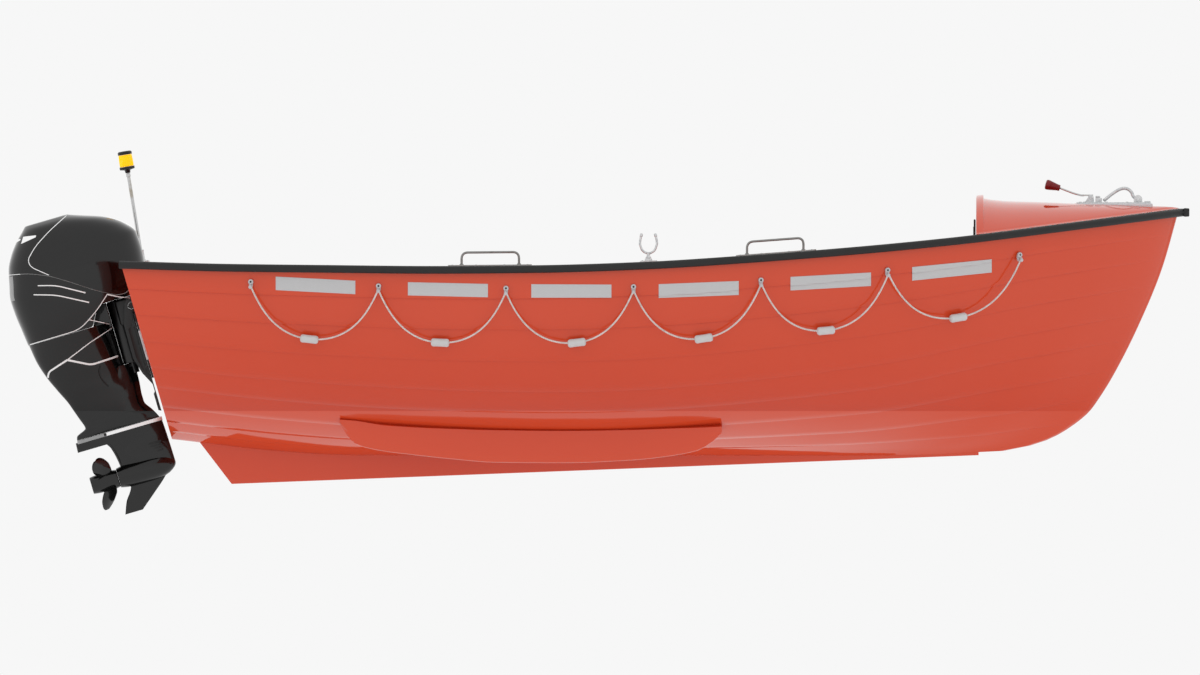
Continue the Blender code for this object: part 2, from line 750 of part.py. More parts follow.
def build_hull():
    cavity = add_tool("cavity", inner_solid(WALL))
    opening = add_tool("opening", flange_opening())
    well = add_tool("engine_well", span_box((-2.4, -WELL_HALF_WIDTH, up(WELL_BOTTOM_HEIGHT)),
                                            (-1.98, WELL_HALF_WIDTH, 1.0)))
    for name, outline, low, high in hull_zones():
        moulding = add_part(name, hull_skin(0.0), "hull_red")
        carve(moulding, cavity, opening, well)
        keep_inside(moulding, zone_tool("zone_" + name, outline, low, high))
    hull_space = add_tool("hull_space", hull_skin(ROOT_GAP))
    keel_rings = []
    for top_x, bottom_x, height in keel_rows():
        roof = up(hull_bottom_at(top_x)) + KEEL_ROOT
        low = up(height)
        keel_rings.append([(top_x, -KEEL_HALF_TOP, roof), (bottom_x, -KEEL_HALF_BOTTOM, low),
                           (bottom_x, KEEL_HALF_BOTTOM, low), (top_x, KEEL_HALF_TOP, roof)])
    carve(add_part("keel", rings_mesh(keel_rings), "hull_red"), hull_space)
    for side, sign in (("port", 1), ("stbd", -1)):
        rings = []
        for x, low, high in FIN:
            rings.append([(x, sign * FIN_OUTER_Y, up(high)),
                          (x, sign * (FIN_OUTER_Y - FIN_TAPER), up(low)),
                          (x, sign * (FIN_INNER_Y + FIN_TAPER), up(low)),
                          (x, sign * FIN_INNER_Y, up(high + FIN_ROOT_RISE))])
        carve(add_part("bilge_fin_" + side, rings_mesh(rings), "hull_red"), hull_space)


def rail_normals(points):
    """Outward mitre of each point of a plan path, long enough to keep the offset."""
    normals = []
    for i, point in enumerate(points):
        sides = []
        if i > 0:
            sides.append((point - points[i - 1]).normalized())
        if i < len(points) - 1:
            sides.append((points[i + 1] - point).normalized())
        mitre = sum(sides, Vector((0.0, 0.0))).normalized()
        square = Vector((-mitre.y, mitre.x))
        edge = Vector((-sides[0].y, sides[0].x))
        normals.append(square / max(0.5, square.dot(edge)))
    return normals


def build_rub_rail():
    port = [(x, y, z) for x, y, z in GUNWALE]
    whole = port + [(x, -y, z) for x, y, z in reversed(port)]
    normals = rail_normals([Vector((x, y)) for x, y, _ in whole])
    rings = []
    for (x, y, z), normal in zip(whole, normals):
        low = z - RAIL_DEPTH
        outline = ((0.0004, z), (0.0004, low), (0.020, low), (0.0275, low + 0.006),
                   (RAIL_PROUD, z - RAIL_DEPTH / 2), (0.0275, z - 0.006), (0.020, z))
        rings.append([(x + normal.x * d, y + normal.y * d, level) for d, level in outline])
    rail = add_part("rub_rail", tube_mesh(rings), "rubber_black")
    nose_x, _, nose_z = GUNWALE[-1]
    block = add_tool("bow_block", span_box(
        (nose_x + 0.010, -RAIL_NOSE_HALF_WIDTH, nose_z - RAIL_DEPTH - 0.004),
        (TRANSOM_TOP_X - 0.0045 + LENGTH_OVER_RAIL, RAIL_NOSE_HALF_WIDTH, nose_z + 0.003), 0.005))
    unite(rail, block)


def build_interior():
    inside = add_tool("inside", inner_solid(WALL + FIT_CLEARANCE))
    sole = add_part("cockpit_sole", span_box(
        (SOLE_AFT_X, -1.0, up(SOLE_HEIGHT - SOLE_THICKNESS)),
        (BULKHEAD_X - GAP, 1.0, up(SOLE_HEIGHT))), "interior_orange")
    keep_inside(sole, inside)

    rings = []
    for t in inner_stations():
        floor = inner_profile(t, WALL)[0]
        x = hull_x(t, floor.y)
        if not SOLE_AFT_X + 0.05 < x < 1.0:
            continue
        low = up(floor.y) + GAP
        high = up(SOLE_HEIGHT - SOLE_THICKNESS) - GAP
        half = min(KEELSON_HALF_WIDTH, floor.x - 0.001)
        rings.append([(x, -half, high), (x, -half, low), (x, half, low), (x, half, high)])
    add_part("keelson", rings_mesh(rings), "hull_red")

    bench_low = up(SOLE_HEIGHT) + GAP
    for side, sign in (("port", 1), ("stbd", -1)):
        edges = sorted((sign * BENCH_INNER_Y, sign * 1.0))
        bench = add_part("side_bench_" + side, span_box(
            (BENCH_AFT_X, edges[0], bench_low),
            (BULKHEAD_X - GAP, edges[1], up(BENCH_HEIGHT))), "interior_orange")
        keep_inside(bench, inside)
    for name, aft, fore in THWARTS:
        low = up(BENCH_HEIGHT) + GAP
        add_part(name, span_box((aft, -THWART_HALF_SPAN, low),
                                (fore, THWART_HALF_SPAN, low + THWART_THICKNESS), 0.006),
                 "thwart_white")

    build_bulkhead(inside)


def build_bulkhead(inside):
    """Fore bulkhead: a sill below the doorway and a moulding on each side of it."""
    _, width, height = HATCH_SIZE
    door_half = width / 2 - HATCH_LAP
    door_low = up(HATCH_TOP_HEIGHT) - height + HATCH_LAP
    door_high = up(HATCH_TOP_HEIGHT) - HATCH_LAP
    fore = BULKHEAD_X + BULKHEAD_THICKNESS
    sill = add_part("bulkhead_sill", span_box(
        (BULKHEAD_X, -OUTSIDE_Y, up(BULKHEAD_FOOT_HEIGHT)),
        (fore, OUTSIDE_Y, door_low - GAP)), "interior_orange")
    keep_inside(sill, inside)
    under_deck = add_tool("under_deck", deck_space(0.0015, 0.10))
    doorway = add_tool("locker_doorway", span_box(
        (BULKHEAD_X - 0.1, -door_half, door_low - 0.1), (BULKHEAD_X + 0.1, door_half, door_high)))
    for side, low, high in (("port", GAP / 2, OUTSIDE_Y), ("stbd", -OUTSIDE_Y, -GAP / 2)):
        moulding = add_part("bulkhead_" + side, span_box(
            (BULKHEAD_X, low, door_low), (fore, high, up(OUTSIDE_TOP_HEIGHT))), "interior_orange")
        crown = add_tool("crown_" + side, span_box(
            (BULKHEAD_X + CROWN_STEP, low, up(CROWN_FOOT_HEIGHT)),
            (fore - CROWN_STEP, high, up(OUTSIDE_TOP_HEIGHT))))
        keep_inside(crown, under_deck)
        keep_inside(moulding, inside)
        unite(moulding, crown)
        carve(moulding, doorway)


def deck_top(t, crown):
    """Half outline of the deck's top at a station, edge to ridge, as y and z."""
    x, breadth, z = gunwale_point(t)
    outer = breadth - DECK_INSET
    points = []
    for share in (1.0, 0.93, 0.82, 0.66, 0.46, 0.24, 0.0):
        points.append((share * outer, z + DECK_EDGE + crown * (1 - share ** 2.4)))
    return x, z, outer, points


def whole_ring(x, port):
    return [(x, -y, z) for y, z in port[:-1]] + [(x, y, z) for y, z in reversed(port)]


def deck_space(clearance, depth):
    """Space under the deck's skin, reaching down between the gunwale flanges."""
    rings = []
    for t, crown in DECK_CROWN[:-2]:
        x, z, outer, top = deck_top(t, crown)
        inner = max(outer + DECK_INSET - FLANGE_WIDTH, 0.02) - clearance
        under = [(y * inner / outer, level - DECK_SKIN - clearance) for y, level in top]
        rings.append(whole_ring(x, [(under[0][0], z - depth)] + under))
    rings.insert(0, [(x - 0.05, y, z) for x, y, z in rings[0]])
    return tube_mesh(rings)


def build_foredeck():
    rings = []
    for t, crown in DECK_CROWN:
        x, z, outer, top = deck_top(t, crown)
        rings.append(whole_ring(x, [(outer, z + GAP)] + top))
    deck = add_part("foredeck", tube_mesh(rings), "hull_red")
    void = add_tool("deck_void", deck_space(0.0, 0.01))
    pad = add_tool("hook_pad", span_box((1.722, -0.062, up(1.122)), (2.046, 0.062, up(HOOK_PAD_TOP)),
                                        0.004))
    carve(deck, void)
    unite(deck, pad)

    thickness, width, height = HATCH_SIZE
    hinge = (BULKHEAD_X - GAP - thickness, width / 2, up(HATCH_TOP_HEIGHT) - height / 2)
    hatch = add_part("locker_hatch", span_box((0.0, -width, -height / 2),
                                              (thickness, 0.0, height / 2), 0.002), "hatch_black")
    hatch.location = hinge


def gunwale_strip(x_start, x_end, y_start, y_end, thickness):
    """Flat strip that lies on the gunwale flange and follows its facets."""
    stops = [x_start] + [x for x, _, _ in GUNWALE if x_start < x < x_end] + [x_end]
    rings = []
    for x in stops:
        low = gunwale_at(x)[1] + GAP
        rings.append([(x, y_start, low + thickness), (x, y_start, low),
                      (x, y_end, low), (x, y_end, low + thickness)])
    return rings_mesh(rings)


def build_handrails():
    for side, sign in (("port", 1), ("stbd", -1)):
        for place, aft, leg_aft, leg_fore, fore in HANDRAILS:
            breadth = min(gunwale_at(aft)[0], gunwale_at(fore)[0])
            y = sign * (breadth - 0.032)
            edges = sorted((y - 0.018, y + 0.018))
            rail = add_part("handrail_" + place + "_" + side,
                            gunwale_strip(aft, fore, edges[0], edges[1], 0.004), "stainless")
            low_aft = gunwale_at(leg_aft)[1] + 0.002
            low_fore = gunwale_at(leg_fore)[1] + 0.002
            r = 0.018
            path = [(leg_aft, low_aft)]
            path += arc((leg_aft + r, low_aft + HANDRAIL_RISE - r), r, 180, 90, 5)
            path += arc((leg_fore - r, low_fore + HANDRAIL_RISE - r), r, 90, 0, 5)
            path.append((leg_fore, low_fore))
            tool = add_tool("tube_" + place + "_" + side,
                            rod([(x, y, z) for x, z in path], HANDRAIL_RADIUS, 2))
            unite(rail, tool)


def build_rowlocks():
    for side, sign in (("port", 1), ("stbd", -1)):
        breadth, top = gunwale_at(ROWLOCK_X)
        y = sign * (breadth - 0.032)
        socket = add_part("rowlock_socket_" + side,
                          gunwale_strip(ROWLOCK_X - 0.035, ROWLOCK_X + 0.035, y - 0.020, y + 0.020,
                                        0.004), "galvanised")
        boss = add_tool("boss_" + side, cylinder((ROWLOCK_X, y, top + 0.001),
                                                 (ROWLOCK_X, y, top + 0.014), 0.014))
        hole = add_tool("hole_" + side, cylinder((ROWLOCK_X, y, top + 0.0055),
                                                 (ROWLOCK_X, y, top + 0.05), 0.0075))
        unite(socket, boss)
        carve(socket, hole)
        low = 0.034
        horn = [(-0.0285, 0.113), (-0.0335, 0.092), (-0.0355, 0.072)]
        horn += arc((0.0, 0.066), 0.0315, 190, 350, 7)
        horn += [(0.0355, 0.072), (0.0335, 0.092), (0.0285, 0.113)]
        rowlock = add_part("rowlock_" + side,
                           rod([(x, 0.0, z) for x, z in horn], 0.005, 1), "galvanised")
        rowlock.location = (ROWLOCK_X, y, top)
        stem = add_tool("stem_" + side, turned(
            ((0.0, 0.0060), (0.0066, 0.0060), (0.0066, 0.0150), (0.0110, 0.0155),
             (0.0110, 0.0190), (0.0070, 0.0220), (0.0070, low + 0.003), (0.0, low + 0.003)),
            (0, 0, 0), (0, 0, 1), 16))
        stem.location = rowlock.location
        unite(rowlock, stem)


def build_grab_lines():
    """Rope, floats and eyes of the port side, then the same mirrored to starboard."""
    pieces = []
    hang = []
    for x, height in EYES:
        skin = max(hull_side_y(x + d, height + e) for d in (-0.012, 0.012)
                   for e in (-0.012, 0.012))
        z = up(height)
        tip = skin + EYE_REACH
        pieces.append(cylinder((x, skin + GAP, z), (x, tip, z), 0.010, 0.006, segments=8))
        pieces.append(bead((x, tip, z - EYE_DROP / 2), 0.009, EYE_DROP + 0.018))
        hang.append((x, tip, height - EYE_DROP))
    for start, end in zip(hang, hang[1:]):
        route = []
        for i in range(ROPE_POINTS):
            u = i / (ROPE_POINTS - 1)
            drop = 1 - (math.cosh((2 * u - 1) / CATENARY) - 1) / (math.cosh(1 / CATENARY) - 1)
            height = start[2] + (end[2] - start[2]) * u - ROPE_SAG * drop
            x = start[0] + ROPE_START + (end[0] - start[0] - 2 * ROPE_START) * u
            y = start[1] + (end[1] - start[1]) * u
            y = max(y, hull_side_y(x, height) + ROPE_CLEAR)
            route.append((x, y, up(height)))
        pieces.append(rod(route, ROPE_RADIUS, 2))
        middle = ROPE_POINTS // 2
        turn = along(route[middle - 1], route[middle + 1])
        turn.translation = Vector(route[middle])
        buoy = bead((0, 0, 0), FLOAT_RADIUS, FLOAT_LENGTH)
        buoy.transform(turn)
        pieces.append(buoy)
    port = add_part("grab_line_port", pieces[0], "rope_white")
    for i, mesh in enumerate(pieces[1:]):
        unite(port, add_tool("line_" + str(i), mesh))
    bpy.context.view_layer.update()
    graph = bpy.context.evaluated_depsgraph_get()
    mirrored = bpy.data.meshes.new_from_object(port.evaluated_get(graph))
    mirrored.transform(Matrix.Scale(-1, 4, (0, 1, 0)))
    mirrored.flip_normals()
    add_part("grab_line_stbd", mirrored, "rope_white")


def build_light():
    axis = Vector((-math.sin(POLE_LEAN), 0.0, math.cos(POLE_LEAN)))
    foot = Vector(POLE_FOOT)
    foot.z = up(POLE_FOOT[2])
    top = gunwale_at(foot.x)[1]
    bracket = add_part("pole_bracket",
                       gunwale_strip(foot.x - 0.030, foot.x + 0.030, foot.y - 0.024,
                                     foot.y + 0.024, 0.005), "galvanised")
    start = foot - axis * (foot.z - top - 0.0035) / axis.z
    sleeve = add_tool("pole_sleeve", cylinder(start, start + axis * 0.045, 0.012, segments=16))
    socket_start = start + axis * 0.008
    socket = add_tool("pole_socket", cylinder(socket_start, socket_start + axis * 0.08,
                                              POLE_RADIUS + GAP, segments=16))
    unite(bracket, sleeve)
    carve(bracket, socket)
    base = socket_start + axis * GAP
    head = foot + axis * POLE_LENGTH
    add_part("light_pole", cylinder(base, head, POLE_RADIUS, segments=16), "stainless")

    lamp = head + axis * GAP
    rows = (
        ("lamp_base", "lamp_black", ((0.0, 0.0), (0.009, 0.0), (0.012, 0.012), (0.031, 0.016),
                                     (0.031, 0.027), (0.0, 0.027))),
        ("lamp_lens", "lens_yellow", ((0.0, 0.0273), (0.0280, 0.0273), (0.0290, 0.0330),
                                      (0.0275, 0.0760), (0.0, 0.0760))),
        ("lamp_cap", "lamp_black", ((0.0, 0.0763), (0.0292, 0.0763), (0.0292, 0.0860),
                                    (0.0250, 0.0905), (0.0, 0.0915))),
    )
    for name, material, profile in rows:
        add_part(name, turned(profile, lamp, lamp + axis, 24), material)


def build_hook():
    base = add_part("hook_base", span_box((1.7321, -0.045, up(HOOK_PAD_TOP) + GAP),
                                          (2.0387, 0.045, up(HOOK_PLATE_TOP)), 0.002),
                    "galvanised")
    tools = []
    for sign in (1, -1):
        lug = arc((HOOK_PIVOT[0], up(HOOK_PIVOT[1])), 0.0175, 0, 180, 7)
        lug += [(HOOK_PIVOT[0] - 0.0175, up(1.155)), (HOOK_PIVOT[0] + 0.0175, up(1.155))]
        tools.append(plate(lug, 0.004, sign * 0.016))
        cheek = arc((LEVER_PIVOT[0], up(LEVER_PIVOT[1])), 0.012, 0, 180, 7)
        cheek += [(LEVER_PIVOT[0] - 0.026, up(1.155)), (LEVER_PIVOT[0] + 0.015, up(1.155))]
        tools.append(plate(cheek, 0.003, sign * 0.0165))
    for centre, half in ((HOOK_PIVOT, 0.022), (LEVER_PIVOT, 0.021)):
        level = up(centre[1])
        tools.append(cylinder((centre[0], -half, level), (centre[0], half, level), 0.005,
                              segments=12))
    tools.append(span_box((1.8106, -0.020, up(1.155)), (1.8250, 0.020, up(1.176)), 0.002))
    tools.append(span_box((2.0116, -0.020, up(1.155)), (2.0370, 0.020, up(1.163)), 0.002))
    for i, mesh in enumerate(tools):
        unite(base, add_tool("hook_tool_" + str(i), mesh))

    arch = ((1.8460, 1.1660), (1.8660, 1.1820), (1.8821, 1.1952), (1.9096, 1.2120),
            (1.9297, 1.2170), (1.9480, 1.2110), (1.9620, 1.1960), (1.9760, 1.1755))
    arm = add_part("hook_arm", rod([(x - HOOK_PIVOT[0], 0.0, height - HOOK_PIVOT[1])
                                    for x, height in arch], 0.006, 2), "galvanised")
    arm.location = (HOOK_PIVOT[0], 0.0, up(HOOK_PIVOT[1]))
    eye = add_tool("hook_eye", cylinder((0, -0.0115, 0), (0, 0.0115, 0), 0.0105, segments=16))
    hole = add_tool("hook_eye_hole", cylinder((0, -0.03, 0), (0, 0.03, 0), 0.0056, segments=16))
    for tool in (eye, hole):
        tool.location = arm.location
    unite(arm, eye)
    carve(arm, hole)

    lever = add_part("release_lever", span_box((-0.048, -0.010, 0.0075), (0.010, 0.010, 0.0135),
                                               0.001), "galvanised")
    lever.location = (LEVER_PIVOT[0], 0.0, up(LEVER_PIVOT[1]))
    shank = add_tool("lever_shank", rod(((-0.126, 0.0, 0.0395), (-0.070, 0.0, 0.0180),
                                         (-0.040, 0.0, 0.0100)), 0.004, 2))
    hub = add_tool("lever_hub", cylinder((0, -0.0125, 0), (0, 0.0125, 0), 0.0105, segments=16))
    bore = add_tool("lever_bore", cylinder((0, -0.03, 0), (0, 0.03, 0), 0.0056, segments=16))
    for tool in (shank, hub, bore):
        tool.location = lever.location
    unite(lever, shank, hub)
    carve(lever, bore)
    grip_start = Vector((-0.1268, 0.0, 0.0397))
    grip_axis = Vector((-0.0560, 0.0, 0.0154)).normalized()
    grip = add_part("lever_grip", turned(((0.0, 0.0), (0.0105, 0.0), (0.0135, 0.012),
                                          (0.0210, 0.048), (0.0205, 0.056), (0.0140, 0.061),
                                          (0.0, 0.062)), grip_start, grip_start + grip_axis, 16),
                    "grip_red")
    grip.location = lever.location


# Outboard engine

def empty(name, parent=None, matrix=None):
    made = bpy.data.objects.new(name, None)
    PARTS.objects.link(made)
    made.parent = parent
    made.matrix_local = matrix if matrix is not None else Matrix.Identity(4)
    return made


def plan_ring(z, back, front, half_width, power=2.6, count=20):
    """Rounded ring seen along the shaft, mirrored about the centreline."""
    middle = (back + front) / 2
    reach = (front - back) / 2
    ring = []
    for i in range(count):
        angle = (i + 0.5) * 2 * math.pi / count
        c, s = math.cos(angle), math.sin(angle)
        x = middle + reach * math.copysign(abs(c) ** (2 / power), c)
        y = half_width * math.copysign(abs(s) ** (2 / power), s)
        ring.append((x, y, z))
    return ring


def cowl_solid(shrink, low, high, steps):
    rings = []
    for i in range(steps + 1):
        z = low + (high - low) * i / steps
        back = blend_table(COWL, z, 1) + shrink
        front = blend_table(COWL, z, 2) - shrink
        half = blend_table(COWL, z, 3) - shrink
        rings.append(plan_ring(z, back, front, half, 2.8))
    return rings_mesh(rings)


def build_engine():
    place = Matrix.Translation((ENGINE_X, 0.0, up(ENGINE_HEIGHT))) @ Matrix.Rotation(
        -ENGINE_LEAN, 4, "Y")
    mount = empty("engine_mount", None, place)
    tilt = empty("tilt_axis", mount, Matrix.Translation((TILT_X, 0.0, TILT_Z)))
    steer = empty("steer_axis", tilt, Matrix.Translation((-TILT_X, 0.0, -TILT_Z)))
    from_tilt = Matrix.Translation((-TILT_X, 0.0, -TILT_Z))

    def ride(made, parent, location=(0, 0, 0)):
        made.parent = parent
        made.location = location
        return made

    pad_x = TRANSOM_FACE_X - GAP
    ride(add_part("transom_pad", span_box((pad_x - PAD_THICKNESS, -0.200, -0.300),
                                          (pad_x, 0.200, -0.024), 0.001), "bracket_grey"), mount)
    bracket_x = pad_x - PAD_THICKNESS - GAP
    for side, sign in (("port", 1), ("stbd", -1)):
        outline = arc((TILT_X, TILT_Z), 0.030, 0, 150, 8)
        outline += [*CLAMP_AFT, (bracket_x, CLAMP_AFT[-1][1] - 0.006),
                    (bracket_x, -0.0190), (0.100, -0.0190), (0.100, -0.006), (0.086, -0.004)]
        bracket = ride(add_part("clamp_bracket_" + side, plate(outline, 0.012, sign * 0.118),
                                "bracket_black"), mount)
        flange = ride(add_tool("clamp_flange_" + side, span_box(
            (bracket_x - 0.009, sign * 0.145 - 0.040, -0.280),
            (bracket_x, sign * 0.145 + 0.040, -0.040))), mount)
        bore = ride(add_tool("clamp_bore_" + side, cylinder(
            (TILT_X, -0.2, TILT_Z), (TILT_X, 0.2, TILT_Z), 0.0143)), mount)
        unite(bracket, flange)
        carve(bracket, bore)
    ride(add_part("tilt_tube", cylinder((TILT_X, -0.145, TILT_Z), (TILT_X, 0.145, TILT_Z), 0.014),
                  "stainless"), mount)

    swivel = ride(add_part("swivel_bracket", cylinder((0, -0.1005, 0), (0, 0.1005, 0), 0.022),
                           "bracket_black"), tilt)
    arm = ride(add_tool("swivel_arm", span_box((-0.005, -0.050, -0.060),
                                               (0.055, 0.050, SWIVEL_TOP), 0.006, from_tilt)), tilt)
    column = ride(add_tool("swivel_column", cylinder((0, 0, SWIVEL_FOOT), (0, 0, SWIVEL_TOP),
                                                     SWIVEL_RADIUS, place=from_tilt)), tilt)
    shaft_bore = ride(add_tool("swivel_bore", cylinder((0, 0, -0.3), (0, 0, 0.1), 0.0183,
                                                       place=from_tilt)), tilt)
    tube_bore = ride(add_tool("tube_bore", cylinder((0, -0.2, 0), (0, 0.2, 0), 0.0143)), tilt)
    unite(swivel, arm, column)
    carve(swivel, shaft_bore, tube_bore)

    ride(add_part("steering_shaft", cylinder((0, 0, -0.2595), (0, 0, 0.0507), 0.018),
                  "stainless"), steer)

    inner = ride(add_tool("cowl_inner", cowl_solid(COWL_SKIN, 0.060, 0.437, 12)), steer)
    top = 0.6
    upper_outline = list(UPPER_SEAM) + [(0.25, top), (-0.45, top)]
    upper_zone = ride(add_tool("upper_zone", plate(upper_outline, 0.3)), steer)
    upper = ride(add_part("cowl_upper", cowl_solid(0.0, -0.020, COWL_TOP, 15), "engine_black"), steer)
    keep_inside(upper, upper_zone)
    carve(upper, inner)
    lower_outline = [(x, z - SEAM_GAP) for x, z in UPPER_SEAM]
    lower_outline += [(x, z) for x, z in reversed(COWL_FLOOR)]
    lower_zone = ride(add_tool("lower_zone", plate(lower_outline, 0.3)), steer)
    lower = ride(add_part("cowl_lower", cowl_solid(0.0, -0.020, COWL_TOP, 15), "engine_black"), steer)
    socket = ride(add_tool("tiller_socket", span_box(
        (0.110, -0.024, TILLER_Z - 0.016), (TILLER_X - 0.024, 0.024, TILLER_Z + 0.016), 0.003)),
        steer)
    cheeks = [ride(add_tool("tiller_cheek_" + str(sign), span_box(
        (0.120, sign * 0.018 - 0.005, TILLER_Z - 0.013),
        (TILLER_X + 0.013, sign * 0.018 + 0.005, TILLER_Z + 0.013), 0.002)), steer)
        for sign in (1, -1)]
    pin = ride(add_tool("tiller_pin", cylinder(
        (TILLER_X, -0.020, TILLER_Z), (TILLER_X, 0.020, TILLER_Z), 0.006, segments=12)), steer)
    keep_inside(lower, lower_zone)
    unite(lower, socket, pin, *cheeks)
    carve(lower, inner)

    ride(add_part("engine_block", span_box((-0.300, -0.110, 0.060 + GAP), (0.030, 0.110, 0.330),
                                           0.01), "block_grey"), steer)

    leg = ride(add_part("drive_leg", rings_mesh([plan_ring(*row, 2.2) for row in LEG]),
                        "engine_black"), steer)
    yoke = ride(add_tool("leg_yoke", span_box((-0.060, -0.032, -0.300), (0.030, 0.032, -0.2600),
                                              0.008)), steer)
    neck = ride(add_tool("leg_neck", plate(LEG_NECK, LEG_NECK_HALF_WIDTH)), steer)
    unite(leg, yoke, neck)

    nose = arc((0.0, 0.0), 0.052, 90, -90, 10)
    outline = [(-0.309, 0.045), (-0.290, 0.075), (-0.220, 0.098), (-0.120, 0.095)] + nose
    outline += [(-0.120, -0.095), (-0.220, -0.098), (-0.290, -0.075), (-0.309, -0.045)]
    gearcase = ride(add_part("gearcase", flat_plate(outline, -0.4775, -0.4613), "engine_black"),
                    steer)
    parts = [rings_mesh([plan_ring(*row, 2.0) for row in STRUT]),
             turned(((0.0, 0.0), (0.018, 0.010), (0.036, 0.035), (0.047, 0.075), (0.050, 0.120),
                     (0.049, 0.190), (0.040, 0.245), (0.0, 0.245)),
                    (0.056, 0.0, PROPELLER_Z), (-0.5, 0.0, PROPELLER_Z), 16),
             rings_mesh([plan_ring(*row, 2.0, 12) for row in SKEG]),
             rings_mesh([plan_ring(*row, 2.0, 12) for row in TRIM_TAB])]
    for i, mesh in enumerate(parts):
        unite(gearcase, ride(add_tool("gear_tool_" + str(i), mesh), steer))

    propeller = ride(add_part("propeller", turned(
        ((0.0, 0.0), (0.036, 0.0), (0.040, 0.030), (0.038, 0.090), (0.034, 0.115), (0.0, 0.115)),
        (0, 0, 0), (-1, 0, 0), 18), "engine_black"), steer,
        (-0.1893, 0.0, PROPELLER_Z))
    for i in range(3):
        blade = ride(add_tool("blade_" + str(i), blade_mesh(i)), steer, propeller.location)
        unite(propeller, blade)

    droop = Matrix.Rotation(TILLER_DROOP, 4, "Y")
    path = [droop @ Vector(p) for p in ((TILLER_KNUCKLE - 0.0020, 0, 0), (0.090, 0, 0.002),
                                        (0.150, 0, 0.004))]
    tiller = ride(add_part("tiller_arm", rod(path, TILLER_ROD, 3), "bracket_black"), steer,
                  (TILLER_X, 0.0, TILLER_Z))
    knuckle = ride(add_tool("tiller_knuckle", cylinder((0, -0.0115, 0), (0, 0.0115, 0),
                                                       TILLER_KNUCKLE)), steer, tiller.location)
    unite(tiller, knuckle)
    eye = ride(add_tool("tiller_eye", cylinder((0, -0.05, 0), (0, 0.05, 0), 0.0063, segments=12)),
               steer, tiller.location)
    carve(tiller, eye)
    ride(add_part("tiller_grip", turned(
        ((0.0, 0.0), (0.0150, 0.0), (0.0175, 0.004), (0.0170, 0.100), (0.0190, 0.112),
         (0.0150, 0.120), (0.0, 0.120)), droop @ Vector((0.1503, 0, 0.004)),
        droop @ Vector((1.1503, 0, 0.024)), 16), "rubber_black"), steer, tiller.location)


def flat_plate(outline, low, high):
    """Flat outline of x and y between two heights."""
    rings = [[(x, y, z) for x, y in outline] for z in (low, high)]
    return rings_mesh(rings)


def blade_mesh(index):
    """One propeller blade, pitched about its radius and raked aft."""
    turn = Matrix.Rotation(math.radians(BLADE_ANGLE + 120 * index), 4, "X")
    rings = []
    rows = ((0.020, 0.020), (0.045, 0.032), (0.075, 0.043), (0.100, 0.038), (0.119, 0.018))
    for radius, half_chord in rows:
        pitch = math.atan2(0.075, max(radius, 0.03)) + 0.15
        middle = Vector((-0.045 - 0.35 * (radius - 0.03), 0.0, 0.0))
        reach = Vector((math.sin(pitch), math.cos(pitch), 0.0)) * half_chord
        skin = Vector((math.cos(pitch), -math.sin(pitch), 0.0)) * 0.0022
        ring = []
        for point in (middle - reach + skin * 0.3, middle + skin * 1.5, middle + reach + skin * 0.3,
                      middle + reach - skin * 0.3, middle - skin * 1.5, middle - reach - skin * 0.3):
            ring.append(turn @ (point + Vector((0.0, 0.0, radius))))
        rings.append(ring)
    return tube_mesh(rings)


build_hull()
build_rub_rail()
build_interior()
build_foredeck()
build_handrails()
build_rowlocks()
build_grab_lines()
build_light()
build_hook()
build_engine()
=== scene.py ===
# Open rescue lifeboat, 4.40 m, with its outboard engine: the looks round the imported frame.
# Metres, +X to the bow, +Y to port, +Z up, origin amidships in the plane of the water.
import bisect
import math

import bmesh
import bpy
from mathutils import Matrix, Vector


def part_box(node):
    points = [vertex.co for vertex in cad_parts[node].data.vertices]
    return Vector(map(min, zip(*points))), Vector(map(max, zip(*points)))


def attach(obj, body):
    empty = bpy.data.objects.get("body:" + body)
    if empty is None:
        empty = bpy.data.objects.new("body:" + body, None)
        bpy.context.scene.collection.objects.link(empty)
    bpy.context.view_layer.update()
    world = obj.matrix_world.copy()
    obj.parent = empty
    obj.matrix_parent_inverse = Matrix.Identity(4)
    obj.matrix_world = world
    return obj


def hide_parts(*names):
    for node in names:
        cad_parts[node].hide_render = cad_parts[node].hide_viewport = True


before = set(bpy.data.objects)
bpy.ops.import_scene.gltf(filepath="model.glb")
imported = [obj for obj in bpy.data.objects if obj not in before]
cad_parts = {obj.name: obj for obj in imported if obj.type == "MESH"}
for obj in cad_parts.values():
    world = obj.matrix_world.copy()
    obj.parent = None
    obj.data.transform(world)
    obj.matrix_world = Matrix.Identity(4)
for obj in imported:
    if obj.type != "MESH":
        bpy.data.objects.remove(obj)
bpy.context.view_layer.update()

# Hull lines. The sheer, the stem and the grab line eyes are closer to the photograph than the
# solids in the frame, by up to 12 mm
DRAUGHT = 0.300
WALL = 0.008
RAIL_DEPTH = 0.0320
NOSE_HALF_WIDTH = 0.020
KEEL_FLAT = 0.024
LAP = 0.006
TRANSOM_TOP_X = -2.199
TRANSOM_TOP_HEIGHT = 0.917
TRANSOM_SLOPE = 0.2917
MID_STATION = 0.46
TRANSOM_HALF_BREADTH = 0.680
HALF_BREADTH = 0.865
# Share of the length from the transom, height of the gunwale
SHEER = (
    (0.0, 0.917), (0.1, 0.905), (0.2, 0.900), (0.3, 0.896), (0.4, 0.8995),
    (0.5, 0.913), (0.6, 0.940), (0.7, 0.974), (0.8, 1.017), (0.9, 1.073),
    (1.0, 1.132),
)
# Share of the length, height of the hull's bottom beside the keel
BOTTOM = (
    (0.0, 0.184), (0.12, 0.136), (0.22, 0.118), (0.4, 0.117), (0.8, 0.117),
    (0.92, 0.120), (1.0, 0.136),
)
